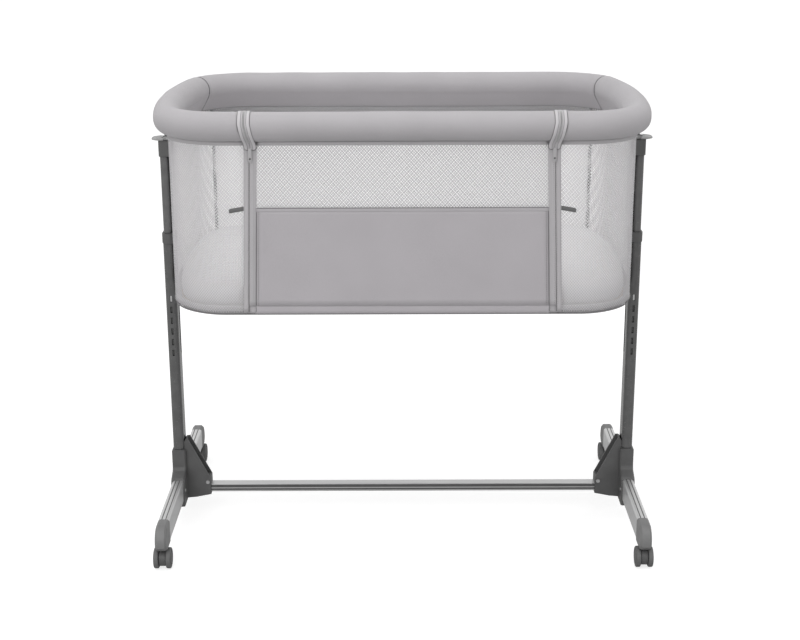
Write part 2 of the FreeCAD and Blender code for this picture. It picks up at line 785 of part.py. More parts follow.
def make_lower_tube():
    """Outer tube with the row of lock slots in front and the bracket's slot inside."""
    body = new_body("lower_tube_right")
    section = new_sketch(body, "section", "XY_Plane", "dim.bracket_floor")
    rounded_rectangle(section, "dim.upright_centre", "0", "dim.tube_width", "dim.tube_depth",
                      "dim.tube_corner")
    rounded_rectangle(section, "dim.upright_centre", "0", "dim.tube_width - 2 * dim.tube_wall",
                      "dim.tube_depth - 2 * dim.tube_wall", "dim.tube_corner - dim.tube_wall")
    pad(body, section, "dim.tube_top - dim.bracket_floor")
    slot = new_sketch(body, "slot", "XZ_Plane", "dim.tube_depth / 2 + 1")
    rectangle(slot, "dim.upright_centre - dim.slot_width / 2",
              "dim.upright_centre + dim.slot_width / 2",
              "dim.slot_top_height - dim.slot_height / 2",
              "dim.slot_top_height + dim.slot_height / 2")
    first = pocket(body, slot, "dim.tube_wall + 2")
    row = body.newObject("PartDesign::LinearPattern", "lock_slots")
    row.Originals = [first]
    row.Direction = (slot, ["V_Axis"])
    row.Reversed = True
    row.Mode = "Spacing"
    row.setExpression("Offset", "dim.slot_pitch")
    row.setExpression("Occurrences", "dim.slot_steps + 1")
    body.Tip = row
    doc.recompute()
    guide = new_sketch(body, "guide", "YZ_Plane", "dim.upright_centre - dim.tube_width / 2 - 1")
    rectangle(guide, "dim.guide_slot_back - dim.guide_slot_width / 2",
              "dim.guide_slot_back + dim.guide_slot_width / 2", "dim.guide_slot_bottom",
              BOLT_HEIGHT + " + dim.guide_slot_width / 2")
    pocket(body, guide, "dim.tube_wall + 2", reverse=True)
    keep(body)
    keep(mirrored(body, "lower_tube_left", LEFT_RIGHT))


def make_collar():
    """Collar round the lower tube's mouth, with a lip that guides the inner tube."""
    body = new_body("tube_collar_right")
    outer_w = "dim.tube_width + 2 * dim.collar_wall"
    outer_d = "dim.tube_depth + 2 * dim.collar_wall"
    section = new_sketch(body, "section", "XY_Plane", "dim.collar_top - dim.collar_height")
    rounded_rectangle(section, "dim.upright_centre", "0", outer_w, outer_d,
                      "dim.tube_corner + dim.collar_wall")
    pad(body, section, "dim.collar_height")
    seat = new_sketch(body, "seat", "XY_Plane", "dim.collar_top - dim.collar_height")
    rounded_rectangle(seat, "dim.upright_centre", "0", "dim.tube_width", "dim.tube_depth",
                      "dim.tube_corner")
    pocket(body, seat, "dim.tube_top - dim.collar_top + dim.collar_height", reverse=True)
    mouth = new_sketch(body, "mouth", "XY_Plane", "dim.collar_top")
    rounded_rectangle(mouth, "dim.upright_centre", "0", INNER_WIDTH + " + 2 * dim.soft_gap",
                      INNER_DEPTH + " + 2 * dim.soft_gap", INNER_CORNER + " + dim.soft_gap")
    pocket(body, mouth, "dim.collar_height")
    top = value("dim.collar_top")
    outside = value("dim.upright_centre + " + outer_w + "/2")

    def outer_rim(edge):
        return lies_at_height(edge, top) and edge.BoundBox.DiagonalLength > 1 \
            and reaches(edge, value(outer_w) / 2, value(outer_d) / 2, outside - value(outer_w) / 2)

    bevel_edges(body, "dim.collar_wall / 2", outer_rim)
    keep(body)
    keep(mirrored(body, "tube_collar_left", LEFT_RIGHT))


def reaches(edge, half_width, half_depth, centre_x):
    """True where an edge lies on the outline of a rectangle about (centre_x, 0)."""
    box = edge.BoundBox
    return abs(max(abs(box.XMax - centre_x), abs(box.XMin - centre_x)) - half_width) < 0.01 or \
        abs(max(abs(box.YMax), abs(box.YMin)) - half_depth) < 0.01


def make_inner_tube():
    """Sliding tube that carries the basket."""
    body = new_body("inner_tube_right")
    section = new_sketch(body, "section", "XY_Plane", "dim.inner_bottom")
    rounded_rectangle(section, "dim.upright_centre", "0", INNER_WIDTH, INNER_DEPTH, INNER_CORNER)
    rounded_rectangle(section, "dim.upright_centre", "0", INNER_WIDTH + " - 2 * dim.inner_wall",
                      INNER_DEPTH + " - 2 * dim.inner_wall", INNER_CORNER + " - dim.inner_wall")
    pad(body, section, "dim.housing_bottom + dim.housing_seat - dim.inner_bottom")
    window = new_sketch(body, "window", "XZ_Plane", "dim.tube_depth / 2")
    rectangle(window, "dim.upright_centre - dim.tongue_thickness / 2 - dim.soft_gap",
              "dim.upright_centre + dim.tongue_thickness / 2 + dim.soft_gap",
              "dim.slot_top_height - dim.tongue_height / 2 - dim.soft_gap",
              "dim.slot_top_height + dim.tongue_height / 2 + dim.soft_gap")
    pocket(body, window, "dim.tube_corner")
    hole = new_sketch(body, "hole", "YZ_Plane", "dim.upright_centre - dim.tube_width / 2")
    circle(hole, "dim.block_back", BOLT_HEIGHT, "dim.bolt_radius")
    pocket(body, hole, "dim.tube_width / 2", reverse=True)
    keep(body)
    keep(mirrored(body, "inner_tube_left", LEFT_RIGHT))


def make_housing():
    """Top housing on the inner tube, with a neck up to the clamp round the rim tube."""
    body = new_body("top_housing_right")
    block = new_sketch(body, "block", "XY_Plane", "dim.housing_bottom")
    rectangle(block, "dim.housing_inner", "dim.housing_outer", "-dim.housing_depth / 2",
              "dim.housing_depth / 2")
    pad(body, block, "dim.housing_top - dim.housing_bottom")
    round_edges(body, "dim.housing_round", upright_edge)
    neck = new_sketch(body, "neck", "XY_Plane", "dim.housing_top")
    rectangle(neck, "dim.housing_inner", "dim.housing_inner + dim.neck_thickness",
              "-dim.neck_depth / 2", "dim.neck_depth / 2")
    pad(body, neck, "dim.rim_height - dim.housing_top")
    ring = new_sketch(body, "ring", "XZ_Plane")
    many_sided(ring, "dim.rim_half_length", "dim.rim_height", "dim.clamp_radius", PAD_SIDES)
    pad(body, ring, "dim.clamp_length", midplane=True)
    bore = new_sketch(body, "bore", "XZ_Plane")
    many_sided(bore, "dim.rim_half_length", "dim.rim_height",
               "dim.rim_tube_radius + dim.soft_gap", TUBE_SIDES)
    pocket(body, bore, "2 * dim.clamp_length", midplane=True)
    seat = new_sketch(body, "seat", "XY_Plane", "dim.housing_bottom")
    rounded_rectangle(seat, "dim.upright_centre", "0", INNER_WIDTH + " + 2 * dim.running_gap",
                      INNER_DEPTH + " + 2 * dim.running_gap", INNER_CORNER + " + dim.running_gap")
    pocket(body, seat, "dim.housing_seat + dim.running_gap", reverse=True)
    wire = new_sketch(body, "wire", "XY_Plane", "dim.housing_top")
    circle(wire, WIRE_X, "0", "dim.wire_radius + dim.soft_gap")
    pocket(body, wire, "dim.housing_top - dim.housing_bottom - dim.housing_seat")
    pivot = new_sketch(body, "pivot", "XZ_Plane")
    circle(pivot, "dim.lever_pivot", "dim.lever_pivot_height", "dim.pivot_radius")
    pocket(body, pivot, "2 * dim.neck_depth", midplane=True)
    keep(body)
    keep(mirrored(body, "top_housing_left", LEFT_RIGHT))


def make_lever():
    """Release lever: a D-shaped tab with two ears on a pin through the neck."""
    body = new_body("release_lever_right")
    plate = new_sketch(body, "plate", "XY_Plane", LEVER_LOW)
    rectangle(plate, "dim.housing_inner + dim.neck_thickness + 5 * dim.soft_gap",
              "dim.lever_tip", "-dim.lever_depth / 2", "dim.lever_depth / 2")
    pad(body, plate, "dim.lever_thickness")
    tip = value("dim.lever_tip")
    bevel_edges(body, "dim.lever_depth / 4",
                lambda edge: upright_edge(edge) and edge.BoundBox.XMax > tip - 0.01, "tip")
    bend = value("dim.lever_depth / 4")
    round_edges(body, "dim.lever_depth / 4",
                lambda edge: upright_edge(edge) and edge.BoundBox.XMax > tip - bend - 0.01,
                "tip_round")
    ear_centre = "(dim.neck_depth / 2 + dim.soft_gap + dim.lever_ear / 2)"
    for side, sign in (("front", ""), ("back", "-")):
        ear = new_sketch(body, "ear_" + side, "XZ_Plane", sign + ear_centre)
        polygon(ear, [
            ("dim.lever_pivot - 2 * dim.pivot_radius", LEVER_LOW),
            ("dim.lever_pivot + 7 * dim.pivot_radius", LEVER_LOW),
            ("dim.lever_pivot + 7 * dim.pivot_radius", LEVER_HIGH),
            ("dim.lever_pivot + 2 * dim.pivot_radius",
             "dim.lever_pivot_height + 2 * dim.pivot_radius"),
            ("dim.lever_pivot - 2 * dim.pivot_radius",
             "dim.lever_pivot_height + 2 * dim.pivot_radius")])
        pad(body, ear, "dim.lever_ear", midplane=True)
    pivot = new_sketch(body, "pivot", "XZ_Plane")
    circle(pivot, "dim.lever_pivot", "dim.lever_pivot_height",
           "dim.pivot_radius + dim.running_gap")
    pocket(body, pivot, "2 * dim.lever_depth", midplane=True)
    hole = new_sketch(body, "hole", "XY_Plane", LEVER_HIGH)
    circle(hole, WIRE_X, "0", "dim.wire_hole_radius")
    pocket(body, hole, "dim.lever_thickness")
    keep(body)
    keep(mirrored(body, "release_lever_left", LEFT_RIGHT))
    pin = new_body("lever_pin_right")
    section = new_sketch(pin, "section", "XZ_Plane")
    circle(section, "dim.lever_pivot", "dim.lever_pivot_height", "dim.pivot_radius")
    pad(pin, section, "dim.neck_depth + 2 * dim.soft_gap + 2 * dim.lever_ear", midplane=True)
    group("lever_pins", [pin, mirrored(pin, "lever_pin_left", LEFT_RIGHT)])


def make_release_wire():
    """Bent wire from the lever down to the lock tongue, with a head over the lever."""
    body = new_body("release_wire_right")
    foot = "(dim.upright_centre - dim.tongue_thickness / 2 - dim.wire_radius)"
    low = value("dim.slot_top_height")
    start_x, wire_x = value(foot), value(WIRE_X)
    head_low = "(%s + 3 * dim.soft_gap)" % LEVER_HIGH
    spine = new_sketch(body, "spine", "XZ_Plane")
    across = spine.addGeometry(
        Part.LineSegment(vector(start_x, low), vector(wire_x, low)), False)
    up = spine.addGeometry(
        Part.LineSegment(vector(wire_x, low), vector(wire_x, value(head_low))), False)
    spine.addConstraint(Sketcher.Constraint("Coincident", across, 2, up, 1))
    spine.addConstraint(Sketcher.Constraint("Horizontal", across))
    bind(spine, "DistanceX", across, 1, foot)
    bind(spine, "DistanceY", across, 1, "dim.slot_top_height")
    bind(spine, "DistanceX", up, 2, WIRE_X)
    bind(spine, "DistanceY", up, 2, head_low)
    spine.addConstraint(Sketcher.Constraint("Vertical", up))
    section = new_sketch(body, "section", "YZ_Plane", foot)
    circle(section, "0", "dim.slot_top_height", "dim.wire_radius")
    doc.recompute()
    pipe = body.newObject("PartDesign::AdditivePipe", "wire_pipe")
    pipe.Profile = section
    pipe.Spine = (spine, [])
    pipe.Transition = "Right corner"
    doc.recompute()
    head = new_sketch(body, "head", "XY_Plane", head_low)
    circle(head, WIRE_X, "0", "dim.wire_head_radius")
    pad(body, head, "dim.wire_head_thickness")
    keep(body)
    keep(mirrored(body, "release_wire_left", LEFT_RIGHT))


def make_tongue():
    """Lock tongue: its slanted slot draws it back as the wire's foot rises."""
    body = new_body("lock_tongue_right")
    plate = new_sketch(body, "plate", "YZ_Plane", "dim.upright_centre")
    rectangle(plate, "-(dim.tube_depth / 2 - dim.tube_wall - dim.soft_gap)", "dim.tongue_tail",
              "dim.slot_top_height - dim.tongue_height / 2",
              "dim.slot_top_height + dim.tongue_height / 2")
    pad(body, plate, "dim.tongue_thickness", midplane=True)
    slack = "(sqrt(2) * (dim.wire_radius + dim.soft_gap))"
    height = "dim.slot_top_height"
    slot = new_sketch(body, "slot", "YZ_Plane", "dim.upright_centre")
    polygon(slot, [(slack, height),
                   ("-dim.wire_travel", height + " + dim.wire_travel + " + slack),
                   ("-dim.wire_travel - " + slack, height + " + dim.wire_travel"),
                   ("0", height + " - " + slack)])
    pocket(body, slot, "2 * dim.tongue_thickness", midplane=True)
    keep(body)
    keep(mirrored(body, "lock_tongue_left", LEFT_RIGHT))


# ---------------------------------------------------------------- feet

FOOT_TOP = "(dim.foot_bottom + dim.foot_height)"
FOOT_MIDDLE = "(dim.foot_bottom + dim.foot_height / 2)"


def make_foot_bar():
    """Extruded foot with two grooves along its top."""
    body = new_body("foot_bar_right")
    section = new_sketch(body, "section", "XZ_Plane")
    rounded_rectangle(section, "dim.upright_centre", FOOT_MIDDLE, "dim.foot_width",
                      "dim.foot_height", "dim.foot_round")
    rounded_rectangle(section, "dim.upright_centre", FOOT_MIDDLE,
                      "dim.foot_width - 2 * dim.foot_wall",
                      "dim.foot_height - 2 * dim.foot_wall", "dim.foot_round - dim.foot_wall")
    pad(body, section, "2 * dim.foot_half_length", midplane=True)
    for side, sign in (("inner", "-"), ("outer", "+")):
        groove = new_sketch(body, "groove_" + side, "XZ_Plane")
        middle = "dim.upright_centre %s dim.foot_width / 6" % sign
        rectangle(groove, middle + " - dim.groove_width / 2", middle + " + dim.groove_width / 2",
                  FOOT_TOP + " - dim.groove_depth", FOOT_TOP + " + 1")
        pocket(body, groove, "3 * dim.foot_half_length", midplane=True)
    keep(body)
    keep(mirrored(body, "foot_bar_left", LEFT_RIGHT))


def make_foot_cap():
    """End cap that curves down over the caster, plugged into the foot bar."""
    body = new_body("foot_cap_back_right")
    side = new_sketch(body, "side", "YZ_Plane", "dim.upright_centre")
    polygon(side, [("dim.foot_half_length", FOOT_TOP), ("dim.foot_half_length", "dim.foot_bottom"),
                   ("dim.cap_end - dim.cap_nose", "dim.foot_bottom"),
                   ("dim.cap_end", "dim.foot_bottom + dim.cap_nose")] + [
        ("dim.cap_end - dim.cap_shoulder * (1 - cos(%s deg))" % turn,
         FOOT_TOP + " - dim.cap_shoulder * (1 - sin(%s deg))" % turn)
        for turn in range(0, 91, 15)])
    pad(body, side, "dim.foot_width", midplane=True)
    start, low = value("dim.foot_half_length"), value("dim.foot_bottom")

    def rim_edge(edge):
        box = edge.BoundBox
        return box.XLength < 0.01 and box.YMax > start + 0.1 and box.ZMax > low + 0.1

    bevel_edges(body, "dim.cap_bevel", rim_edge, "rim")
    plug = new_sketch(body, "plug", "XZ_Plane", "-dim.foot_half_length")
    rounded_rectangle(plug, "dim.upright_centre", FOOT_MIDDLE,
                      "dim.foot_width - 2 * dim.foot_wall - 2 * dim.running_gap",
                      "dim.foot_height - 2 * dim.foot_wall - 2 * dim.running_gap",
                      "dim.foot_round - dim.foot_wall - dim.running_gap")
    pad(body, plug, "dim.cap_plug")
    socket = new_sketch(body, "socket", "XY_Plane", "dim.foot_bottom")
    circle(socket, "dim.upright_centre", "dim.caster_pivot",
           "dim.stem_radius + dim.running_gap")
    pocket(body, socket, "dim.stem_length + 1", reverse=True)
    keep(body)
    four_ways(body, "foot_cap")


def four_ways(back_right, name):
    """The other three corners of a sub-part made for the back right corner."""
    keep(mirrored(back_right, name + "_back_left", LEFT_RIGHT))
    front = keep(mirrored(back_right, name + "_front_right", FRONT_BACK))
    keep(mirrored(front, name + "_front_left", LEFT_RIGHT))


def make_caster():
    """Twin-wheel caster: a swivelling fork disc with its stem, and a pair of wheels."""
    axle_y = "(dim.caster_pivot + dim.caster_trail)"
    crown = "(dim.foot_bottom - dim.fork_gap)"
    body = new_body("caster_fork_back_right")
    arm = new_sketch(body, "arm", "YZ_Plane", "dim.upright_centre")
    many_sided(arm, axle_y, "dim.wheel_radius", "dim.fork_radius", PAD_SIDES)
    pad(body, arm, "dim.fork_width", midplane=True)
    neck = new_sketch(body, "neck", "YZ_Plane", "dim.upright_centre")
    polygon(neck, [("dim.caster_pivot - dim.fork_width / 2", crown),
                   ("dim.caster_pivot - dim.fork_width / 2", crown + " - dim.stem_radius / 2"),
                   (axle_y + " - dim.fork_radius * 0.8", "dim.wheel_radius"),
                   (axle_y, "dim.wheel_radius"),
                   (axle_y + " + dim.fork_radius * 0.5",
                    "dim.wheel_radius + dim.fork_radius * 0.75"),
                   ("dim.caster_pivot + dim.fork_width", crown)])
    pad(body, neck, "dim.fork_width", midplane=True)
    stem = new_sketch(body, "stem", "XY_Plane", crown)
    circle(stem, "dim.upright_centre", "dim.caster_pivot", "dim.stem_radius")
    pad(body, stem, "dim.stem_length")
    hole = new_sketch(body, "hole", "YZ_Plane", "dim.upright_centre")
    circle(hole, axle_y, "dim.wheel_radius", "dim.axle_radius + dim.running_gap")
    pocket(body, hole, "2 * dim.fork_width", midplane=True)
    keep(body)
    four_ways(body, "caster_fork")

    wheels = new_body("caster_wheels_back_right")
    inner = "(dim.fork_width / 2 + dim.fork_gap)"
    axle = new_sketch(wheels, "axle", "YZ_Plane", "dim.upright_centre")
    circle(axle, axle_y, "dim.wheel_radius", "dim.axle_radius")
    pad(wheels, axle, "2 * " + inner, midplane=True)
    for side, sign in (("inner", "-"), ("outer", "+")):
        tread = new_sketch(wheels, "tread_" + side, "YZ_Plane",
                           "dim.upright_centre %s %s" % (sign, inner))
        many_sided(tread, axle_y, "dim.wheel_radius", "dim.wheel_radius", WHEEL_SIDES)
        pad(wheels, tread, "dim.wheel_width", reverse=side == "inner")
    keep(wheels)
    four_ways(wheels, "caster_wheels")


def make_foot_bracket():
    """Moulded bracket: a sleeve for the upright, a hood round the foot bar, and a gusset,
    hollow and open along its slope, with a socket for the cross bar."""
    body = new_body("foot_bracket_right")
    hood = new_sketch(body, "hood", "YZ_Plane", "dim.upright_centre")
    sleeve_half = "(dim.tube_depth / 2 + dim.bracket_wall)"
    step = "(%s + dim.hood_wall)" % FOOT_TOP
    polygon(hood, [
        ("-dim.hood_half_length", "dim.hood_bottom"), ("dim.hood_half_length", "dim.hood_bottom"),
        ("dim.hood_half_length", "dim.foot_bottom + dim.foot_height / 2"),
        ("dim.hood_half_length - dim.hood_wall * 3", step),
        (sleeve_half, "dim.hood_shoulder"),
        (sleeve_half, "dim.bracket_top"), ("-" + sleeve_half, "dim.bracket_top"),
        ("-" + sleeve_half, "dim.hood_shoulder"),
        ("-dim.hood_half_length + dim.hood_wall * 3", step),
        ("-dim.hood_half_length", "dim.foot_bottom + dim.foot_height / 2")])
    pad(body, hood, "dim.foot_width + 2 * dim.hood_wall", midplane=True)
    across = FreeCAD.Vector(1, 0, 0)
    shoulder_z, step_z = value("dim.hood_shoulder"), value(step)

    def hood_bend(edge):
        height = edge.BoundBox.ZMin
        return is_along(edge, across) and (abs(height - shoulder_z) < 0.01
                                           or abs(height - step_z) < 0.01)

    round_edges(body, "dim.hood_wall * 4", hood_bend, "bend")
    edge_low = value("dim.foot_bottom")
    bevel_edges(body, "dim.hood_wall * 0.9",
                lambda edge: edge.BoundBox.XLength < 0.01 and edge.BoundBox.ZMax > edge_low,
                "rim")
    gusset = new_sketch(body, "gusset", "XZ_Plane")
    inner_side = "(dim.upright_centre - dim.foot_width / 2 - dim.hood_wall)"
    polygon(gusset, [
        ("dim.upright_centre", "dim.hood_bottom"),
        (inner_side + " - 6 * dim.gusset_wall", "dim.hood_bottom + dim.gusset_wall"),
        ("dim.gusset_end", "dim.gusset_bottom + dim.gusset_wall"),
        ("dim.gusset_end", "dim.gusset_nose_top"),
        (inner_side + " - 2 * dim.gusset_wall", "dim.gusset_top"),
        (inner_side, "dim.gusset_top"),
        ("dim.upright_centre", "dim.bracket_top")])
    pad(body, gusset, "dim.gusset_depth", midplane=True)
    hollow = new_sketch(body, "hollow", "XZ_Plane")
    rectangle(hollow, "dim.gusset_end - 1", inner_side + " - dim.gusset_wall",
              "dim.gusset_nose_top + dim.gusset_wall", "dim.gusset_top + 1")
    pocket(body, hollow, "dim.gusset_depth - 2 * dim.gusset_wall", midplane=True)
    tunnel = new_sketch(body, "tunnel", "XZ_Plane")
    rounded_rectangle(tunnel, "dim.upright_centre", FOOT_MIDDLE,
                      "dim.foot_width + 2 * dim.running_gap",
                      "dim.foot_height + 2 * dim.running_gap", "dim.foot_round")
    pocket(body, tunnel, "3 * dim.hood_half_length", midplane=True)
    sleeve = new_sketch(body, "sleeve", "XY_Plane", "dim.gusset_top + 1")
    rounded_rectangle(sleeve, "dim.upright_centre", "0",
                      "dim.tube_width + 2 * dim.running_gap",
                      "dim.tube_depth + 2 * dim.running_gap", "dim.tube_corner")
    pocket(body, sleeve, "dim.gusset_top + 1 - dim.bracket_floor")
    socket = new_sketch(body, "socket", "YZ_Plane", "dim.gusset_end")
    rounded_rectangle(socket, "0", "dim.bar_centre_height", "dim.bar_depth + 2 * dim.running_gap",
                      "dim.bar_height + 2 * dim.running_gap", "dim.bar_round")
    pocket(body, socket, "dim.bar_inset + 1", reverse=True)
    keep(body)
    keep(mirrored(body, "foot_bracket_left", LEFT_RIGHT))
    make_screws(inner_side)


def make_screws(inner_side):
    """Flat-head screws: one over each cross bar socket and two in each hood's side."""
    screws = []
    nose = new_body("nose_screw")
    x_place = "dim.gusset_end + 1.5 * dim.screw_head_radius"
    z_place = "dim.gusset_nose_top - 2 * dim.screw_head_radius"
    head = new_sketch(nose, "head", "XZ_Plane", "dim.gusset_depth / 2")
    many_sided(head, x_place, z_place, "dim.screw_head_radius", TUBE_SIDES)
    pad(nose, head, "dim.screw_head_height")
    screws.append(nose)
    for side, sign in (("front", "-"), ("back", "")):
        screw = new_body("hood_screw_" + side)
        head = new_sketch(screw, "head", "YZ_Plane", inner_side)
        many_sided(head, sign + "(dim.hood_half_length - 3 * dim.screw_head_radius)", FOOT_MIDDLE,
                   "dim.screw_head_radius", TUBE_SIDES)
        pad(screw, head, "dim.screw_head_height", reverse=True)
        screws.append(screw)
    screws += [mirrored(screw, screw.Name + "_left", LEFT_RIGHT) for screw in list(screws)]
    group("bracket_screws", screws)


def make_cross_bar():
    """Bar between the two feet, with two grooves along its front."""
    body = new_body("cross_bar")
    section = new_sketch(body, "section", "YZ_Plane")
    rounded_rectangle(section, "0", "dim.bar_centre_height", "dim.bar_depth", "dim.bar_height",
                      "dim.bar_round")
    rounded_rectangle(section, "0", "dim.bar_centre_height", "dim.bar_depth - 2 * dim.bar_wall",
                      "dim.bar_height - 2 * dim.bar_wall", "dim.bar_round / 3")
    pad(body, section, "2 * (dim.gusset_end + dim.bar_inset)", midplane=True)
    for side, sign in (("low", "-"), ("high", "+")):
        groove = new_sketch(body, "groove_" + side, "YZ_Plane")
        middle = "dim.bar_centre_height %s dim.bar_height / 5" % sign
        rectangle(groove, "-dim.bar_depth / 2 - 1", "-dim.bar_depth / 2 + dim.bar_wall / 2",
                  middle + " - dim.bar_wall / 2", middle + " + dim.bar_wall / 2")
        pocket(body, groove, "3 * dim.gusset_end", midplane=True)
    keep(body)


# ---------------------------------------------------------------- build, check and write

make_rim()
make_mesh_walls()
make_front()
make_sliders()
make_webbing_tabs()
make_tray()
make_board()
make_mattress()
make_base_frame()
make_lower_tube()
make_collar()
make_inner_tube()
make_housing()
make_lever()
make_release_wire()
make_tongue()
make_foot_bar()
make_foot_cap()
make_caster()
make_foot_bracket()
make_cross_bar()
doc.recompute()

for item in doc.Objects:
    if "Invalid" in item.State or "Error" in item.State:
        raise RuntimeError("%s failed: %s" % (item.Name, item.State))
for piece in parts:
    if piece.Shape.isNull() or not piece.Shape.isValid():
        raise RuntimeError(piece.Name + " has no valid shape")

os.makedirs("parts", exist_ok=True)
for piece in parts:
    piece.Label = piece.Name
    piece.Shape.exportStep(os.path.join("parts", piece.Label + ".step"))
print(len(parts), "sub-parts written")
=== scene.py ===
# Bedside sleeper crib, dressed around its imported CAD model. Metres, +X right, +Y back, +Z up.
import math

import bpy
import numpy as np
from mathutils import Matrix, Vector


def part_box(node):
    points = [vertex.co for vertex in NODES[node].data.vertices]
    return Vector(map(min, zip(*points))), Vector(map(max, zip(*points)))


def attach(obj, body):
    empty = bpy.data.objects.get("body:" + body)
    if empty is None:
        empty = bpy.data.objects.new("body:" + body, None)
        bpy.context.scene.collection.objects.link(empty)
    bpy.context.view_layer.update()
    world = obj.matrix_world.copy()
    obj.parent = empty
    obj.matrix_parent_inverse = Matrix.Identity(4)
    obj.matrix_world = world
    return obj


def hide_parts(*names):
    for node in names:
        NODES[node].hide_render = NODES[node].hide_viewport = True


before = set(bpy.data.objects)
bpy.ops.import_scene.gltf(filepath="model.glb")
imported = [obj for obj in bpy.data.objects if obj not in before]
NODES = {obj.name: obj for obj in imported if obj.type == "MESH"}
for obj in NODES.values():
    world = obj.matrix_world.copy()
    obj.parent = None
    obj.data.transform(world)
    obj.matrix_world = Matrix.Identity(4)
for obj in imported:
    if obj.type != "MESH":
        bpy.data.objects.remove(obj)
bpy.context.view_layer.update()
SIDES = (("left", -1), ("right", 1))
TURN = 2 * math.pi

# -------- camera, light and floor

EYE = (-0.005, -2.787, 1.257)
TILT_DOWN = 0.2952
ROLL = -0.003
FOCAL_PIXELS = 1461
FRAME_WIDTH = 800
SENSOR = 36.0

scene = bpy.context.scene
scene.view_settings.view_transform = "Standard"
camera = bpy.data.objects.new("camera", bpy.data.cameras.new("camera"))
scene.collection.objects.link(camera)
camera.data.sensor_width = SENSOR
camera.data.lens = FOCAL_PIXELS / FRAME_WIDTH * SENSOR
camera.matrix_world = (
    Matrix.Translation(EYE)
    @ Matrix.Rotation(math.pi / 2 - TILT_DOWN, 4, "X")
    @ Matrix.Rotation(ROLL, 4, "Z")
)
scene.camera = camera


def lamp(name, place, aim, size, power):
    """A square soft light that points at a place."""
    light = bpy.data.lights.new(name, "AREA")
    light.shape = "SQUARE"
    light.size = size
    light.energy = power
    holder = bpy.data.objects.new(name, light)
    holder.location = place
    holder.rotation_euler = (Vector(aim) - Vector(place)).to_track_quat("-Z", "Y").to_euler()
    scene.collection.objects.link(holder)


BASKET, MIDDLE = (0, 0, 0.6), (0, 0, 0.5)
lamp("top_light", (-0.3, -0.6, 3.2), BASKET, 2.6, 30)
lamp("front_light", (-1.8, -3.2, 1.9), BASKET, 2.2, 35)
lamp("side_light", (3.0, -1.6, 1.8), MIDDLE, 2.0, 14)

# The camera, mirrors and holes see a white studio, which lights the rest less strongly.
STUDIO_LIGHT, STUDIO_SEEN = 0.62, 1.0

scene.world = bpy.data.worlds.new("studio")
scene.world.use_nodes = True
sky = scene.world.node_tree
sky.nodes.clear()
sky_out, sky_mix, sky_light, sky_white, sky_path, sky_seen, sky_mirrored = (
    sky.nodes.new("ShaderNode" + kind)
    for kind in ("OutputWorld", "MixShader", "Background", "Background", "LightPath", "Math", "Math")
)
sky_seen.operation = sky_mirrored.operation = "MAXIMUM"
for background, strength in ((sky_light, STUDIO_LIGHT), (sky_white, STUDIO_SEEN)):
    background.inputs["Color"].default_value = (1, 1, 1, 1)
    background.inputs["Strength"].default_value = strength
for source, target in (
    (sky_path.outputs["Is Camera Ray"], sky_seen.inputs[0]),
    (sky_path.outputs["Is Transmission Ray"], sky_seen.inputs[1]),
    (sky_seen.outputs[0], sky_mirrored.inputs[0]),
    (sky_path.outputs["Is Glossy Ray"], sky_mirrored.inputs[1]),
    (sky_mirrored.outputs[0], sky_mix.inputs["Fac"]),
    (sky_light.outputs[0], sky_mix.inputs[1]),
    (sky_white.outputs[0], sky_mix.inputs[2]),
    (sky_mix.outputs[0], sky_out.inputs["Surface"]),
):
    sky.links.new(source, target)

# -------- node materials


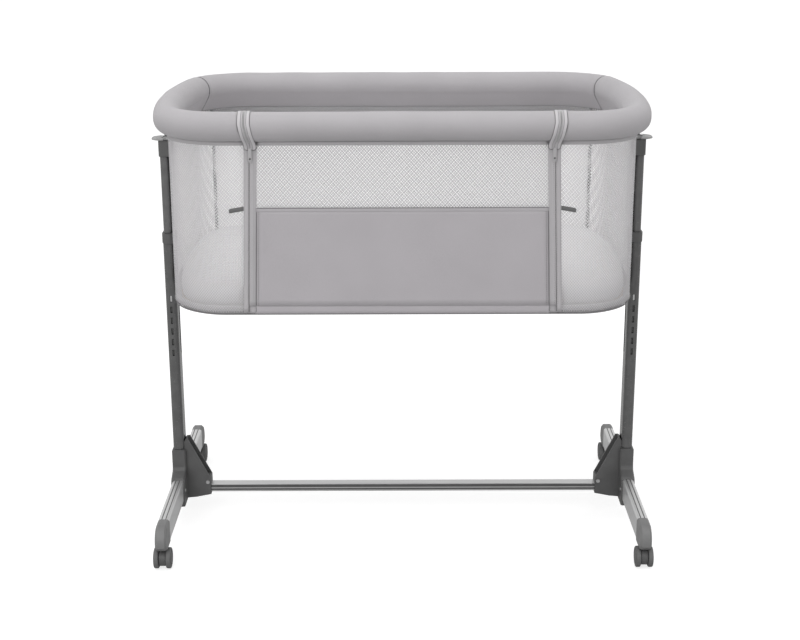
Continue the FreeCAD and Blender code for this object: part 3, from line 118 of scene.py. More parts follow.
class Finish:
    """A material under construction, with short calls for the nodes that it uses."""

    def __init__(self, name, roughness=0.6, metallic=0.0, sheen=0.0, specular=0.5):
        self.material = bpy.data.materials.new(name)
        self.material.use_nodes = True
        self.tree = self.material.node_tree
        self.tree.nodes.clear()
        out = self.tree.nodes.new("ShaderNodeOutputMaterial")
        self.shader = self.tree.nodes.new("ShaderNodeBsdfPrincipled")
        self.shader.inputs["Roughness"].default_value = roughness
        self.shader.inputs["Metallic"].default_value = metallic
        self.shader.inputs["Sheen Weight"].default_value = sheen
        self.shader.inputs["Specular IOR Level"].default_value = specular
        self.link(self.shader.outputs[0], out.inputs["Surface"])
        self.place = self.tree.nodes.new("ShaderNodeTexCoord").outputs["Object"]

    def link(self, source, target):
        self.tree.links.new(source, target)

    def feed(self, value, socket):
        if isinstance(value, (int, float)):
            socket.default_value = value
        else:
            self.link(value, socket)

    def math(self, operation, first, second=0.0):
        node = self.tree.nodes.new("ShaderNodeMath")
        node.operation = operation
        self.feed(first, node.inputs[0])
        self.feed(second, node.inputs[1])
        return node.outputs[0]

    def attribute(self, name):
        node = self.tree.nodes.new("ShaderNodeAttribute")
        node.attribute_name = name
        return node.outputs["Fac"]

    def stretched(self, scale):
        node = self.tree.nodes.new("ShaderNodeMapping")
        node.inputs["Scale"].default_value = scale
        self.link(self.place, node.inputs["Vector"])
        return node.outputs[0]

    def noise(self, scale, detail=2.0, stretch=None):
        node = self.tree.nodes.new("ShaderNodeTexNoise")
        node.inputs["Scale"].default_value = scale
        node.inputs["Detail"].default_value = detail
        self.link(self.stretched(stretch) if stretch else self.place, node.inputs["Vector"])
        return node.outputs["Fac"]

    def ramp(self, value, stops):
        node = self.tree.nodes.new("ShaderNodeValToRGB")
        elements = node.color_ramp.elements
        while len(elements) < len(stops):
            elements.new(0.5)
        for element, (position, colour) in zip(elements, stops):
            element.position = position
            element.color = colour if len(colour) == 4 else (*colour, 1)
        self.link(value, node.inputs["Fac"])
        return node.outputs["Color"]

    def wave(self, value, period, turn=0.0):
        """A sine of a length, from 0 to 1."""
        phase = self.math("MULTIPLY", value, TURN / period)
        if turn:
            phase = self.math("ADD", phase, turn)
        return self.math("MULTIPLY_ADD", self.math("SINE", phase), 0.5)

    def colour(self, output):
        self.link(output, self.shader.inputs["Base Color"])

    def roughness(self, value, low, high):
        node = self.tree.nodes.new("ShaderNodeMapRange")
        node.inputs["To Min"].default_value = low
        node.inputs["To Max"].default_value = high
        self.link(value, node.inputs["Value"])
        self.link(node.outputs[0], self.shader.inputs["Roughness"])

    def bump(self, height, distance, strength=1.0):
        node = self.tree.nodes.new("ShaderNodeBump")
        node.inputs["Strength"].default_value = strength
        node.inputs["Distance"].default_value = distance
        self.link(height, node.inputs["Height"])
        self.link(node.outputs[0], self.shader.inputs["Normal"])


def grey(level, tint=0.0):
    """Linear colour of a grey given as it is seen, 0 to 255, with a faint rose tint."""
    linear = ((level / 255 + 0.055) / 1.055) ** 2.4
    return (linear * (1 + tint), linear, linear * (1 + tint))


def moulded(name, level, roughness, tint=0.0):
    """Matt moulded plastic with a fine spark-eroded grain and slight mottling."""
    finish = Finish(name, roughness)
    mottle = finish.noise(35, 3)
    finish.colour(finish.ramp(mottle, [(0.3, grey(level - 4, tint)), (0.7, grey(level + 4, tint))]))
    finish.roughness(finish.noise(160, 2), roughness - 0.07, roughness + 0.09)
    finish.bump(finish.noise(1500, 2), 0.00006, 0.5)
    return finish.material


def painted(name, level, roughness):
    """Powder-coated metal with a faint orange peel, with painted shade: ambient occlusion darkens it and
    dulls its gloss inside its holes and where other parts come near.
    """
    finish = Finish(name, roughness)
    coat = finish.ramp(finish.noise(60, 3), [(0.35, grey(level - 3)), (0.65, grey(level + 4))])
    # Painted shade: the ambient occlusion below darkens the coat and lowers its gloss in holes and narrow
    # gaps.
    hidden = finish.tree.nodes.new("ShaderNodeAmbientOcclusion")
    hidden.inputs["Distance"].default_value = 0.02
    hidden.samples = 6
    finish.link(coat, hidden.inputs["Color"])
    shade = finish.tree.nodes.new("ShaderNodeMix")
    shade.data_type = "RGBA"
    shade.inputs[6].default_value = (0.004, 0.004, 0.004, 1)
    lit = finish.ramp(hidden.outputs["AO"], [(0.4, (0, 0, 0)), (0.72, (1, 1, 1))])
    finish.link(lit, shade.inputs[0])
    finish.link(finish.math("MULTIPLY", lit, 0.5), finish.shader.inputs["Specular IOR Level"])
    finish.link(coat, shade.inputs[7])
    finish.colour(shade.outputs[2])
    finish.roughness(finish.noise(220, 2), roughness - 0.06, roughness + 0.08)
    finish.bump(finish.noise(700, 2), 0.00008, 0.5)
    return finish.material


def brushed(name, level, roughness, stretch, metallic=1.0):
    """Metal with fine drawn lines along one direction."""
    finish = Finish(name, roughness, metallic)
    lines = finish.noise(1.0, 3, stretch)
    finish.colour(finish.ramp(lines, [(0.3, grey(level - 10)), (0.7, grey(level + 8))]))
    finish.roughness(lines, roughness - 0.08, roughness + 0.1)
    finish.bump(lines, 0.00004, 0.4)
    return finish.material


WEAVE = 0.0011


def woven(name, level, tint=0.035, contrast=5, period=WEAVE, sheen=0.25, relief=0.00022):
    """Plain-woven melange cloth: threads along and across, flecked lighter and darker."""
    finish = Finish(name, 0.9, sheen=sheen, specular=0.25)
    finish.shader.inputs["Sheen Roughness"].default_value = 0.5
    along, across = finish.attribute("along"), finish.attribute("across")
    warp = finish.wave(along, period)
    weft = finish.wave(across, period, math.pi / 2)
    thread = finish.math("MULTIPLY", warp, weft)
    fleck = finish.noise(900, 2)
    cloud = finish.noise(14, 2)
    tone = finish.math("ADD", finish.math("MULTIPLY", fleck, 0.5), finish.math("MULTIPLY", thread, 0.35))
    tone = finish.math("ADD", tone, finish.math("MULTIPLY", cloud, 0.3))
    finish.colour(finish.ramp(tone, [
        (0.2, grey(level - 2 * contrast, tint)),
        (0.5, grey(level, tint)),
        (0.8, grey(level + contrast, tint)),
    ]))
    finish.bump(finish.math("ADD", thread, finish.math("MULTIPLY", fleck, 0.4)), relief, 0.6)
    return finish.material


NET_PITCH = (0.0052, 0.0057)


def netting(name, level, hole_edge=0.02, backed=False, pitch=NET_PITCH, spread=26):
    """Knitted air mesh: diamond holes, offset row by row. Backed netting has no holes
    through it, only paler dimples."""
    finish = Finish(name, 0.85, sheen=0.15, specular=0.3)
    along = finish.math("MULTIPLY", finish.attribute("along"), TURN / pitch[0])
    across = finish.math("MULTIPLY", finish.attribute("across"), TURN / pitch[1])
    hole = finish.math("MULTIPLY", finish.math("COSINE", along), finish.math("COSINE", across))
    fleck = finish.noise(1400, 2)
    tone = finish.math("ADD", finish.math("MULTIPLY", hole, 0.3), finish.math("MULTIPLY", fleck, 0.5))
    bright = level + (spread if backed else 4)
    finish.colour(finish.ramp(tone, [(0.1, grey(level - 7, 0.02)), (0.3, grey(level, 0.02)),
                                     (0.5 if spread < 100 else 0.38, grey(bright, 0.02))]))
    if not backed:
        finish.link(finish.math("LESS_THAN", hole, hole_edge), finish.shader.inputs["Alpha"])
    finish.bump(finish.math("MULTIPLY", hole, -0.5), 0.0004, 0.6)
    return finish.material


board = Finish("board_wood", 0.7)
grain = board.noise(1.0, 4, (6, 160, 160))
board.colour(board.ramp(grain, [(0.3, (0.42, 0.3, 0.18)), (0.7, (0.58, 0.45, 0.3))]))
board.bump(grain, 0.0002, 0.5)

MATERIALS = {
    "dark_frame_metal": painted("painted_steel", 92, 0.24),
    "dark_plastic": moulded("dark_plastic", 89, 0.5),
    "mid_grey_plastic": moulded("mid_plastic", 121, 0.48),
    "satin_aluminium": brushed("drawn_aluminium", 208, 0.4, (900, 8, 900), 0.75),
    "cross_bar": brushed("cross_bar_aluminium", 200, 0.4, (8, 900, 900), 0.75),
    "grey_tube_metal": painted("grey_tube", 102, 0.24),
    "light_grey_plastic": moulded("light_plastic", 164, 0.42),
    "steel": brushed("bright_steel", 190, 0.3, (700, 700, 30)),
    "zip_metal": moulded("zip_enamel", 174, 0.35, 0.02),
    "wheel_plastic": moulded("wheel_plastic", 102, 0.6),
    "board_wood": board.material,
    # A near-black surface for holes: painted shade inside them.
    "steel_hole": moulded("hole_painted_shade", 52, 0.6),
}

RAIL_CLOTH = woven("rail_cloth", 177)
PANEL_CLOTH = woven("panel_cloth", 182, 0.045)
TAPE_CLOTH = woven("zip_tape_cloth", 186, 0.03, period=0.0009)
RIBBON_CLOTH = woven("ribbon_cloth", 186, 0.03, period=0.0009)
BINDING_CLOTH = woven("binding_cloth", 200, 0.03, period=0.0008)
EDGING = woven("wall_edging", 186, 0.03, period=0.0008)
# Dark cloth for piping and edge lines, and also for painted shade in the crease under the rail.
DARK_PIPING_AND_SHADE = woven("dark_piping_and_shade", 126, 0.03, period=0.0008)
# Dark thread colour that also carries painted shade, for the seam grooves and the edges of the rail zip
# tapes.
SEAM_SHADE = woven("seam_thread", 104, 0.03, period=0.0008)
WEBBING = woven("webbing", 112, 0.0, contrast=9, period=0.0016, relief=0.0004)
BASE_CLOTH = woven("base_cloth", 150, 0.03)
MATTRESS_CLOTH = woven("mattress_cloth", 243, 0.01, contrast=4)
NET = netting("air_mesh", 226, -0.01)
# The back wall's mesh is drawn finer, so that it makes no moire with the window before it.
FINE_NET = netting("fine_air_mesh", 224, -0.02, pitch=(0.0039, 0.0043))
SEAM_NET = netting("seam_mesh", 100, 0.1, pitch=(0.0080, 0.0074))
WINDOW_NET = netting("window_mesh", 208)
# Dark netting with pale holes: painted shade on the mesh under the back rail.
HEM_SHADE_NET = netting("hem_mesh_painted_shade", 122, backed=True, spread=110, pitch=(0.0066, 0.0070))
BACKED_NET = netting("backed_mesh", 186, backed=True)
THREAD = moulded("sewing_thread", 136, 0.7, 0.03)
PALE_THREAD = moulded("pale_thread", 190, 0.7, 0.03)
TEETH = moulded("zip_teeth", 112, 0.4)
# The same zip's teeth are drawn much lighter over the rail than down the wall: painted light on the rail's
# lit top.
LIT_RAIL_TEETH = moulded("rail_zip_teeth", 196, 0.4)
# Near-black strips for the grooves of the bars: painted shade.
GROOVE_SHADE = moulded("groove_painted_shade", 86, 0.45)

for node, thing in NODES.items():
    for holder in thing.material_slots:
        wanted = "cross_bar" if node == "cross_bar" else holder.material.name.split(".")[0]
        holder.material = MATERIALS.get(wanted, holder.material)

# -------- plan line of the rim

HALF_LENGTH, HALF_DEPTH = 0.437, 0.264
CORNER, BOW = 0.110, 0.975
CORNER_Y = HALF_DEPTH - CORNER
BOW_ANGLE = math.asin(CORNER_Y / (BOW - CORNER))
BOW_X = HALF_LENGTH - BOW
CORNER_X = BOW_X + (BOW - CORNER) * math.cos(BOW_ANGLE)
ARC = CORNER * (math.pi / 2 - BOW_ANGLE)
ENDS = np.cumsum([CORNER_X, ARC, BOW * 2 * BOW_ANGLE, ARC, CORNER_X])
HALF_WAY = ENDS[-1]


def plan(along):
    """Points of the plan line and its outward directions, at lengths from the front's middle
    round by the right."""
    s = np.mod(np.asarray(along, float), 2 * HALF_WAY)
    left = s > HALF_WAY
    s = np.where(left, 2 * HALF_WAY - s, s)
    part = np.searchsorted(ENDS[:4], s)
    angle = np.choose(part, np.broadcast_arrays(
        -math.pi / 2,
        -math.pi / 2 + (s - ENDS[0]) / CORNER,
        -BOW_ANGLE + (s - ENDS[1]) / BOW,
        BOW_ANGLE + (s - ENDS[2]) / CORNER,
        math.pi / 2,
    ))
    middle_x = np.choose(part, np.broadcast_arrays(s, CORNER_X, BOW_X, CORNER_X, HALF_WAY - s))
    middle_y = np.array([-CORNER_Y, -CORNER_Y, 0.0, CORNER_Y, CORNER_Y])[part]
    radius = np.array([CORNER, CORNER, BOW, CORNER, CORNER])[part]
    out = np.stack([np.cos(angle), np.sin(angle)], -1)
    point = np.stack([middle_x, middle_y], -1) + radius[..., None] * out
    flip = np.where(left, -1.0, 1.0)
    point[..., 0] *= flip
    out[..., 0] *= flip
    return point, out


def on_plan(along, out, up):
    """Points at lengths along the plan, offsets out from it and heights."""
    along, out, up = np.broadcast_arrays(*map(lambda v: np.asarray(v, float), (along, out, up)))
    point, away = plan(along)
    return np.concatenate([point + away * out[..., None], up[..., None]], -1)


def corner_at(degrees):
    """Length along the plan to an angle round the right back corner."""
    return ENDS[2] + CORNER * (math.radians(degrees) - BOW_ANGLE)


# -------- mesh helpers

def grid_faces(rows, columns, wrap=False):
    """Quads between the neighbouring rows and columns of a grid, numbered row by row."""
    i, j = np.meshgrid(np.arange(rows - 1), np.arange(columns if wrap else columns - 1), indexing="ij")
    nxt = (j + 1) % columns
    corners = [i * columns + j, i * columns + nxt, (i + 1) * columns + nxt, (i + 1) * columns + j]
    return np.stack(corners, -1).reshape(-1, 4).tolist()


def make(name, points, faces, *materials, smooth=True):
    mesh = bpy.data.meshes.new(name)
    mesh.from_pydata(np.asarray(points, float).reshape(-1, 3).tolist(), [], faces)
    mesh.update()
    if smooth:
        mesh.shade_smooth()
    for material in materials:
        mesh.materials.append(material)
    piece = bpy.data.objects.new(name, mesh)
    scene.collection.objects.link(piece)
    return piece


def threads(piece, along, across):
    """Lengths along and across the cloth, for its weave."""
    for name, lengths in (("along", along), ("across", across)):
        held = piece.data.attributes.new(name, "FLOAT", "POINT")
        held.data.foreach_set("value", np.asarray(lengths, np.float32).ravel())
    return piece


def thicken(piece, thickness, offset=-1.0):
    shell = piece.modifiers.new("thickness", "SOLIDIFY")
    shell.thickness = thickness
    shell.offset = offset
    return piece


def settle(piece, body, slot=None, *nodes):
    """Give a finished piece its body and hide the nodes that it stands for. The slot is not used."""
    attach(piece, body)
    if nodes:
        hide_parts(*nodes)
    return piece


def closed_tube(name, grid, material, along, across):
    """A closed skin over a grid whose columns go round, with an end face on each end, and the
    lengths of its weave spread over the grid."""
    rows, columns = grid.shape[:2]
    faces = grid_faces(rows, columns, wrap=True)
    first = list(range(columns))
    last = [(rows - 1) * columns + column for column in range(columns)]
    faces += [first[::-1], last]
    return threads(make(name, grid, faces, material),
                   *(np.broadcast_to(lengths, (rows, columns)) for lengths in (along, across)))


def ripple(points, scale, seed):
    """Smooth unevenness between about -1 and 1, the same for the same seed."""
    chance = np.random.default_rng(seed)
    total = np.zeros(points.shape[:-1])
    for _ in range(7):
        direction = chance.normal(size=3)
        direction *= chance.uniform(0.5, 1.6) / np.linalg.norm(direction) / scale
        total += np.sin(points @ direction * TURN + chance.uniform(0, TURN))
    return total / 3.5


# -------- padded rim

RAIL_HEIGHT, PAD_RADIUS = 0.8412, 0.0257
SPLIT, ZIP = 0.28318, 0.27018
SEW_GAP = 0.0002
ROUND = 56
LEAN_REACH = 0.09
DRAWN_REACH, DRAWN_AT_ZIP, DRAWN_AT_SEAM = 0.007, 0.0022, 0.0052
UNEVEN, UNEVEN_LENGTH = 0.00035, 0.11
CREASE_PITCH, CREASE_AT, CREASE_REACH = 0.0085, 0.012, 0.014


def seam_lean(turn):
    """How far towards the middle of the front the sewn end lies, round the rail's section."""
    lowered = np.clip(-np.sin(turn), 0, 1)
    eased = lowered * lowered * (3 - 2 * lowered)
    front = np.clip(0.5 + 0.9 * np.cos(turn), 0, 1)
    return (SPLIT - ZIP) * eased * np.maximum(front, 0.35 * lowered)


def drawn_in(distance, depth):
    """How far the padding is drawn in, at distances from its sewn end."""
    near = np.clip(1 - distance / DRAWN_REACH, 0, 1)
    return depth * (1 - np.sqrt(np.clip(1 - near ** 2, 0, 1)))


def rail_pad(name, start, end, lean_start, lean_end, seed):
    """A length of padded rail. A lean tilts its sewn end as the front zips do."""
    close = np.array([0, 0.0006, 0.0015, 0.003, 0.005, 0.007, 0.011, 0.016, 0.024, 0.034, 0.046])
    length = end - start
    inner = np.linspace(0.055, length - 0.055, max(int(length / 0.009), 8))
    t = np.concatenate([close, inner, (length - close)[::-1]])
    turn = np.linspace(-0.75 * math.pi, 1.25 * math.pi, ROUND, endpoint=False)
    t, turn = np.meshgrid(t, turn, indexing="ij")
    s = start + t
    s = s - lean_start * seam_lean(turn) * np.clip(1 - t / LEAN_REACH, 0, 1) ** 1.5
    s = s + lean_end * seam_lean(turn) * np.clip(1 - (length - t) / LEAN_REACH, 0, 1) ** 1.5
    to_end = np.minimum(t, length - t)
    zipped = np.where(t < length / 2, lean_start, lean_end) != 0
    radius = PAD_RADIUS - drawn_in(to_end, np.where(zipped, DRAWN_AT_ZIP, DRAWN_AT_SEAM))
    rough = on_plan(s, radius * np.cos(turn), RAIL_HEIGHT + radius * np.sin(turn))
    radius = radius + UNEVEN * ripple(rough, UNEVEN_LENGTH, seed) * np.clip(to_end / 0.02, 0, 1)
    crease = np.sin(to_end / CREASE_PITCH * TURN + 1.7 * np.sin(turn * 2 + seed))
    radius = radius + UNEVEN * crease * np.exp(-((to_end - CREASE_AT) / CREASE_REACH) ** 2)
    grid = on_plan(s, radius * np.cos(turn), RAIL_HEIGHT + radius * np.sin(turn))
    ends = []
    for row, inward in ((0, 0.0008), (-1, -0.0008)):
        for share in (0.8, 0.45):
            shrunk = radius[row] * share
            ends.append(on_plan(s[row].mean() * (1 - share) + s[row] * share + inward,
                                shrunk * np.cos(turn[row]),
                                RAIL_HEIGHT + shrunk * np.sin(turn[row])))
    grid = np.concatenate([[ends[1], ends[0]], grid, [ends[2], ends[3]]])
    s = np.concatenate([s[:1], s[:1], s, s[-1:], s[-1:]])
    turn = np.concatenate([turn[:1]] * 2 + [turn] + [turn[-1:]] * 2)
    pad = closed_tube(name, grid, RAIL_CLOTH, s, turn * PAD_RADIUS)
    return pad


BACK_SEAM = corner_at(25)
CORD_LOW = 0.7968
for name, start, end, lean_start, lean_end, seed in (
    ("rim_pad_right", SPLIT, BACK_SEAM, 1, 0, 1),
    ("rim_pad_back", BACK_SEAM, 2 * HALF_WAY - BACK_SEAM, 0, 0, 2),
    ("rim_pad_left", 2 * HALF_WAY - BACK_SEAM, 2 * HALF_WAY - SPLIT, 0, 1, 3),
):
    pad = rail_pad(name + "_cover", start + SEW_GAP, end - SEW_GAP, lean_start, lean_end, seed)
    settle(pad, "basket", "grey_fabric", name)
front_pad = rail_pad("front_rail_cover", -SPLIT + SEW_GAP, SPLIT - SEW_GAP, -1, -1, 4)
settle(front_pad, "front_panel", "grey_fabric", "front_rail_pad")


def seam_cord(name, s, radius=0.0006):
    """A dark cord in the groove between two pads, round the rail and down the skirt: the seam, with painted
    shade of the groove in its colour.
    """
    depth = RAIL_HEIGHT - CORD_LOW
    tangent = 1.5 * math.pi - math.acos(PAD_RADIUS / depth)
    turn = np.linspace(math.radians(20), tangent, 60)
    share = np.linspace(0, 1, 12)[1:]
    groove = PAD_RADIUS - 0.0014 + 0.0018 * np.clip((turn - tangent + 0.5) / 0.5, 0, 1)
    foot = groove[-1]
    out = np.concatenate([groove * np.cos(turn),
                          foot * math.cos(tangent) * (1 - share) - 0.0034 * share])
    up = np.concatenate([groove * np.sin(turn), foot * math.sin(tangent) * (1 - share) - depth * share])
    circle = np.linspace(0, TURN, 8, endpoint=False)
    away = np.arctan2(up, out)[:, None]
    grid = on_plan(s + radius * np.sin(circle), out[:, None] + radius * np.cos(circle) * np.cos(away),
                   RAIL_HEIGHT + up[:, None] + radius * np.cos(circle) * np.sin(away))
    cord = closed_tube(name, grid, SEAM_SHADE, grid[..., 2], grid[..., 0])
    settle(cord, "basket", "grey_fabric")


seam_cord("rim_seam_right", BACK_SEAM)
seam_cord("rim_seam_left", 2 * HALF_WAY - BACK_SEAM)

# Cloth that runs from the inner side of the rail down to the top of the mesh.
SKIRT_START, SKIRT_LOW, SKIRT_FADE = 0.43, 0.7965, 0.07
SKIRT_THICK, SKIRT_TUCK = 0.0012, 0.0009
s = np.linspace(SKIRT_START, 2 * HALF_WAY - SKIRT_START, 171)
fade = np.clip(np.minimum(s - s[0], s[-1] - s) / SKIRT_FADE, 0, 1)
depth = PAD_RADIUS + 0.001 + (RAIL_HEIGHT - SKIRT_LOW - PAD_RADIUS - 0.001) * fade * (2 - fade)
tangent_turn = -math.pi / 2 - np.arccos(PAD_RADIUS / depth)
hidden, tucked = PAD_RADIUS - SKIRT_THICK, PAD_RADIUS - SKIRT_TUCK
rows = [on_plan(s, hidden * np.cos(tangent_turn - 0.25), RAIL_HEIGHT + hidden * np.sin(tangent_turn - 0.25))]
for share in (0, 0.15, 0.35, 0.55, 0.75, 0.9, 1):
    belly = 0.0006 * math.sin(share * math.pi)
    out = tucked * np.cos(tangent_turn) * (1 - share) - 0.0014 * share - belly
    up = tucked * np.sin(tangent_turn) * (1 - share) - depth * share - belly
    rows.append(on_plan(s, out, RAIL_HEIGHT + up))
grid = np.array(rows)
skirt = make("rim_skirt", grid, grid_faces(*grid.shape[:2]), RAIL_CLOTH)
threads(skirt, np.broadcast_to(s, grid.shape[:2]), grid[..., 2])
thicken(skirt, SKIRT_THICK, 0.0)
settle(skirt, "basket", "grey_fabric")

# -------- walls of the basket

WALL_LOW, WALL_HIGH = 0.5175, 0.8165
PANEL_TOP = 0.697
BAND_OUT, BAND_IN = 0.2797, 0.25768
WALL_SEAM = corner_at(47)
NET_LOW = 0.5055
SLANT, UPRIGHT_AT = 0.034, 0.70


def slanted(piece):
    """Lean the zip lines of the front wall: they stand further apart at the foot."""
    mesh = piece.data
    points = np.empty(len(mesh.vertices) * 3)
    mesh.vertices.foreach_get("co", points)
    points = points.reshape(-1, 3)
    aside = np.abs(points[:, 0])
    share = np.minimum(aside / BAND_IN, np.clip(1 - (aside - BAND_OUT) / 0.09, 0, 1))
    share = share * (points[:, 1] < -HALF_DEPTH + 0.05)
    points[:, 0] += np.sign(points[:, 0]) * share * SLANT * (UPRIGHT_AT - points[:, 2])
    mesh.vertices.foreach_set("co", points.ravel())
    mesh.update()
    return piece


def wall(name, start, end, low, high, out, material, thickness, step=0.012, billow=0.0, seed=0):
    """An upright sheet along the plan."""
    s = np.linspace(start, end, max(int(abs(end - start) / step), 2) + 1)
    z = np.linspace(low, high, max(int((high - low) / step), 2) + 1)
    s, z = np.meshgrid(s, z, indexing="ij")
    swell = np.zeros(s.shape)
    if billow:
        inside = (np.sin((s - start) / (end - start) * math.pi)
                  * np.sin((z - low) / (high - low) * math.pi))
        flat = np.stack([s, z, np.zeros(s.shape)], -1)
        swell = billow * np.sqrt(np.clip(inside, 0, 1)) * ripple(flat, 0.22, seed)
    grid = on_plan(s, out + swell, z)
    piece = slanted(make(name, grid, grid_faces(*s.shape), material))
    threads(piece, s, z)
    return thicken(piece, thickness, 0.0)


for name, start, end, cloth in (
    ("mesh_right", BAND_OUT, WALL_SEAM, NET),
    ("mesh_back", WALL_SEAM, 2 * HALF_WAY - WALL_SEAM, FINE_NET),
    ("mesh_left", 2 * HALF_WAY - WALL_SEAM, 2 * HALF_WAY - BAND_OUT, NET),
):
    net = wall(name + "_net", start, end, NET_LOW, WALL_HIGH, 0.0, cloth, 0.0009, billow=0.0006, seed=5)
    settle(net, "basket", "mesh_fabric", name)

window = wall("front_mesh_net", -BAND_IN, BAND_IN, PANEL_TOP - 0.003, WALL_HIGH, 0.0, WINDOW_NET, 0.0009,
              billow=0.0004, seed=6)
settle(window, "front_panel", "mesh_fabric", "front_mesh")

panel = wall("front_panel_cloth", -BAND_IN, BAND_IN, WALL_LOW - 0.0008, PANEL_TOP, 0.0006,
             PANEL_CLOTH, 0.0024, billow=0.0005, seed=7)
settle(panel, "front_panel", "grey_fabric", "front_panel")


def section(low, high, out, thickness, crown):
    """Section of a raised strip with slightly rounded long edges: places across and outward."""
    profile = [(-1, -1), (-1, 0.3), (-0.86, 1), (0, crown), (0.86, 1), (1, 0.3), (1, -1), (0, -1)]
    middle, half = (low + high) / 2, (high - low) / 2
    return (middle + half * np.array([p[0] for p in profile]),
            out + thickness / 2 * np.array([p[1] for p in profile]))


def strip(name, material, start, end, low, high, out, thickness, step=0.006):
    """A raised flat strip along the plan."""
    s = np.linspace(start, end, max(int(abs(end - start) / step), 1) + 1)
    up, away = section(low, high, out, thickness, 1.15)
    return slanted(closed_tube(name, on_plan(s[:, None], away, up), material, s[:, None], up))


def upright_strip(name, material, left, right, low, high, out, thickness, step=0.01):
    """A raised flat strip up the front wall, between two edges in any order."""
    left, right = sorted((left, right))
    z = np.linspace(low, high, max(int((high - low) / step), 1) + 1)
    x, away = section(left, right, out, thickness, 1.1)
    z, x = np.meshgrid(z, x, indexing="ij")
    grid = np.stack([x, -HALF_DEPTH - np.broadcast_to(away, z.shape), z], -1)
    return slanted(closed_tube(name, grid, material, x, z))


def studs(name, material, centres, directions, normals, length, width, height):
    """Many small lozenge-shaped stitches or teeth in one piece."""
    centres, directions, normals = (np.asarray(v, float).reshape(-1, 3)
                                    for v in (centres, directions, normals))
    directions = np.broadcast_to(directions, centres.shape)
    normals = np.broadcast_to(normals, centres.shape)
    sides = np.cross(directions, normals)
    shape = [(-1, 0, 0), (-0.6, 1, 0), (0.6, 1, 0), (1, 0, 0), (0.6, -1, 0), (-0.6, -1, 0),
             (-0.55, 0, 1), (0.55, 0, 1)]
    faces = [(0, 1, 6), (1, 2, 7, 6), (2, 3, 7), (3, 4, 7), (4, 5, 6, 7), (5, 0, 6),
             (5, 4, 3, 2, 1, 0)]
    points = np.stack([centres + directions * a * length / 2 + sides * b * width / 2
                       + normals * c * height for a, b, c in shape], 1)
    every = [tuple(8 * number + corner for corner in face)
             for number in range(len(centres)) for face in faces]
    piece = make(name, points, every, material)
    return threads(piece, np.zeros(len(points) * 8), np.zeros(len(points) * 8))


def row_of(start, end, pitch):
    """Places at about a pitch between two lengths."""
    count = max(int(abs(end - start) / pitch), 1)
    return start + (end - start) * (np.arange(count) + 0.5) / count


FRONT = (0, -1, 0)
UP = (0, 0, 1)
STITCH = 0.0034
STITCH_SIZE = (0.0023, 0.0008, 0.0004)
TEETH_PITCH = 0.0016


def upright_stitches(name, material, x, low, high, out):
    z = row_of(low, high, STITCH)
    centres = np.stack([np.full(z.shape, x), np.full(z.shape, -HALF_DEPTH - out), z], -1)
    return slanted(studs(name, material, centres, UP, FRONT, *STITCH_SIZE))


def level_stitches(name, material, start, end, z, out):
    s = row_of(start, end, STITCH)
    centres = on_plan(s, out, z)
    away = plan(s)[1]
    normals = np.concatenate([away, np.zeros((len(s), 1))], -1)
    directions = np.cross(normals, UP)
    return studs(name, material, centres, directions, normals, *STITCH_SIZE)


# The band of each front zip: a tape half on the basket and one on the panel, each with its row
# of teeth, a raised fold beside the teeth and a row of stitches.
for side, sign in SIDES:
    for body, name, near, far, node in (
        ("basket", "zip_band_" + side, ZIP + 0.0002, BAND_OUT, "zip_band_" + side),
        ("front_panel", "zip_tape_" + side, ZIP - 0.0002, BAND_IN, "zip_tape_" + side),
    ):
        way = math.copysign(1, far - near)
        foot = NET_LOW if body == "basket" else WALL_LOW
        tape = upright_strip(name + "_cloth", TAPE_CLOTH, sign * near, sign * far, foot, WALL_HIGH,
                             0.0004, 0.0022)
        settle(tape, body, "grey_fabric", node)
        fold = upright_strip(name + "_fold", TAPE_CLOTH, sign * (near + way * 0.0006),
                             sign * (near + way * 0.0078), foot, WALL_HIGH, 0.0019, 0.0008)
        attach(fold, body)
        z = row_of(foot, WALL_HIGH - 0.004, TEETH_PITCH) + (TEETH_PITCH / 2 if body == "basket" else 0)
        x = np.full(z.shape, sign * (near + way * 0.0009))
        centres = np.stack([x, np.full(z.shape, -HALF_DEPTH - 0.0012), z], -1)
        teeth = studs(name + "_teeth", TEETH, centres, (1, 0, 0), FRONT, 0.0026, 0.0011, 0.0006)
        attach(slanted(teeth), body)
        sewn = upright_stitches(name + "_stitches", THREAD,
                                sign * (near + way * (0.0017 if body == "basket" else 0.0033)),
                                foot, WALL_HIGH, 0.0022)
        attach(sewn, body)

# Hems of the solid panel, and its dark edge lines beside the zip bands.
hem = strip("front_panel_hem", PANEL_CLOTH, -BAND_IN, BAND_IN, PANEL_TOP - 0.0065, PANEL_TOP,
            0.002, 0.0006)
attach(hem, "front_panel")
line = strip("front_panel_top_line", DARK_PIPING_AND_SHADE, -BAND_IN, BAND_IN, PANEL_TOP - 0.0006,
             PANEL_TOP + 0.0006, 0.002, 0.0014)
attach(line, "front_panel")
sewn = level_stitches("front_panel_hem_stitches", PALE_THREAD, -BAND_IN + 0.003, BAND_IN - 0.003,
                      PANEL_TOP - 0.005, 0.0022)
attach(sewn, "front_panel")
trim = [hem, sewn]
EDGE_NEAR, EDGE_FAR = BAND_IN - 0.0011, BAND_IN + 0.0001
for side, sign in SIDES:
    line = upright_strip("front_panel_edge_" + side, DARK_PIPING_AND_SHADE, sign * EDGE_NEAR, sign * EDGE_FAR,
                         WALL_LOW + 0.001, PANEL_TOP, 0.0019, 0.0006)
    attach(line, "front_panel")
    sewn = upright_stitches("front_panel_side_stitches_" + side, THREAD, sign * (BAND_IN - 0.0045),
                            WALL_LOW, PANEL_TOP - 0.006, 0.002)
    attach(sewn, "front_panel")
    trim += [line, sewn]

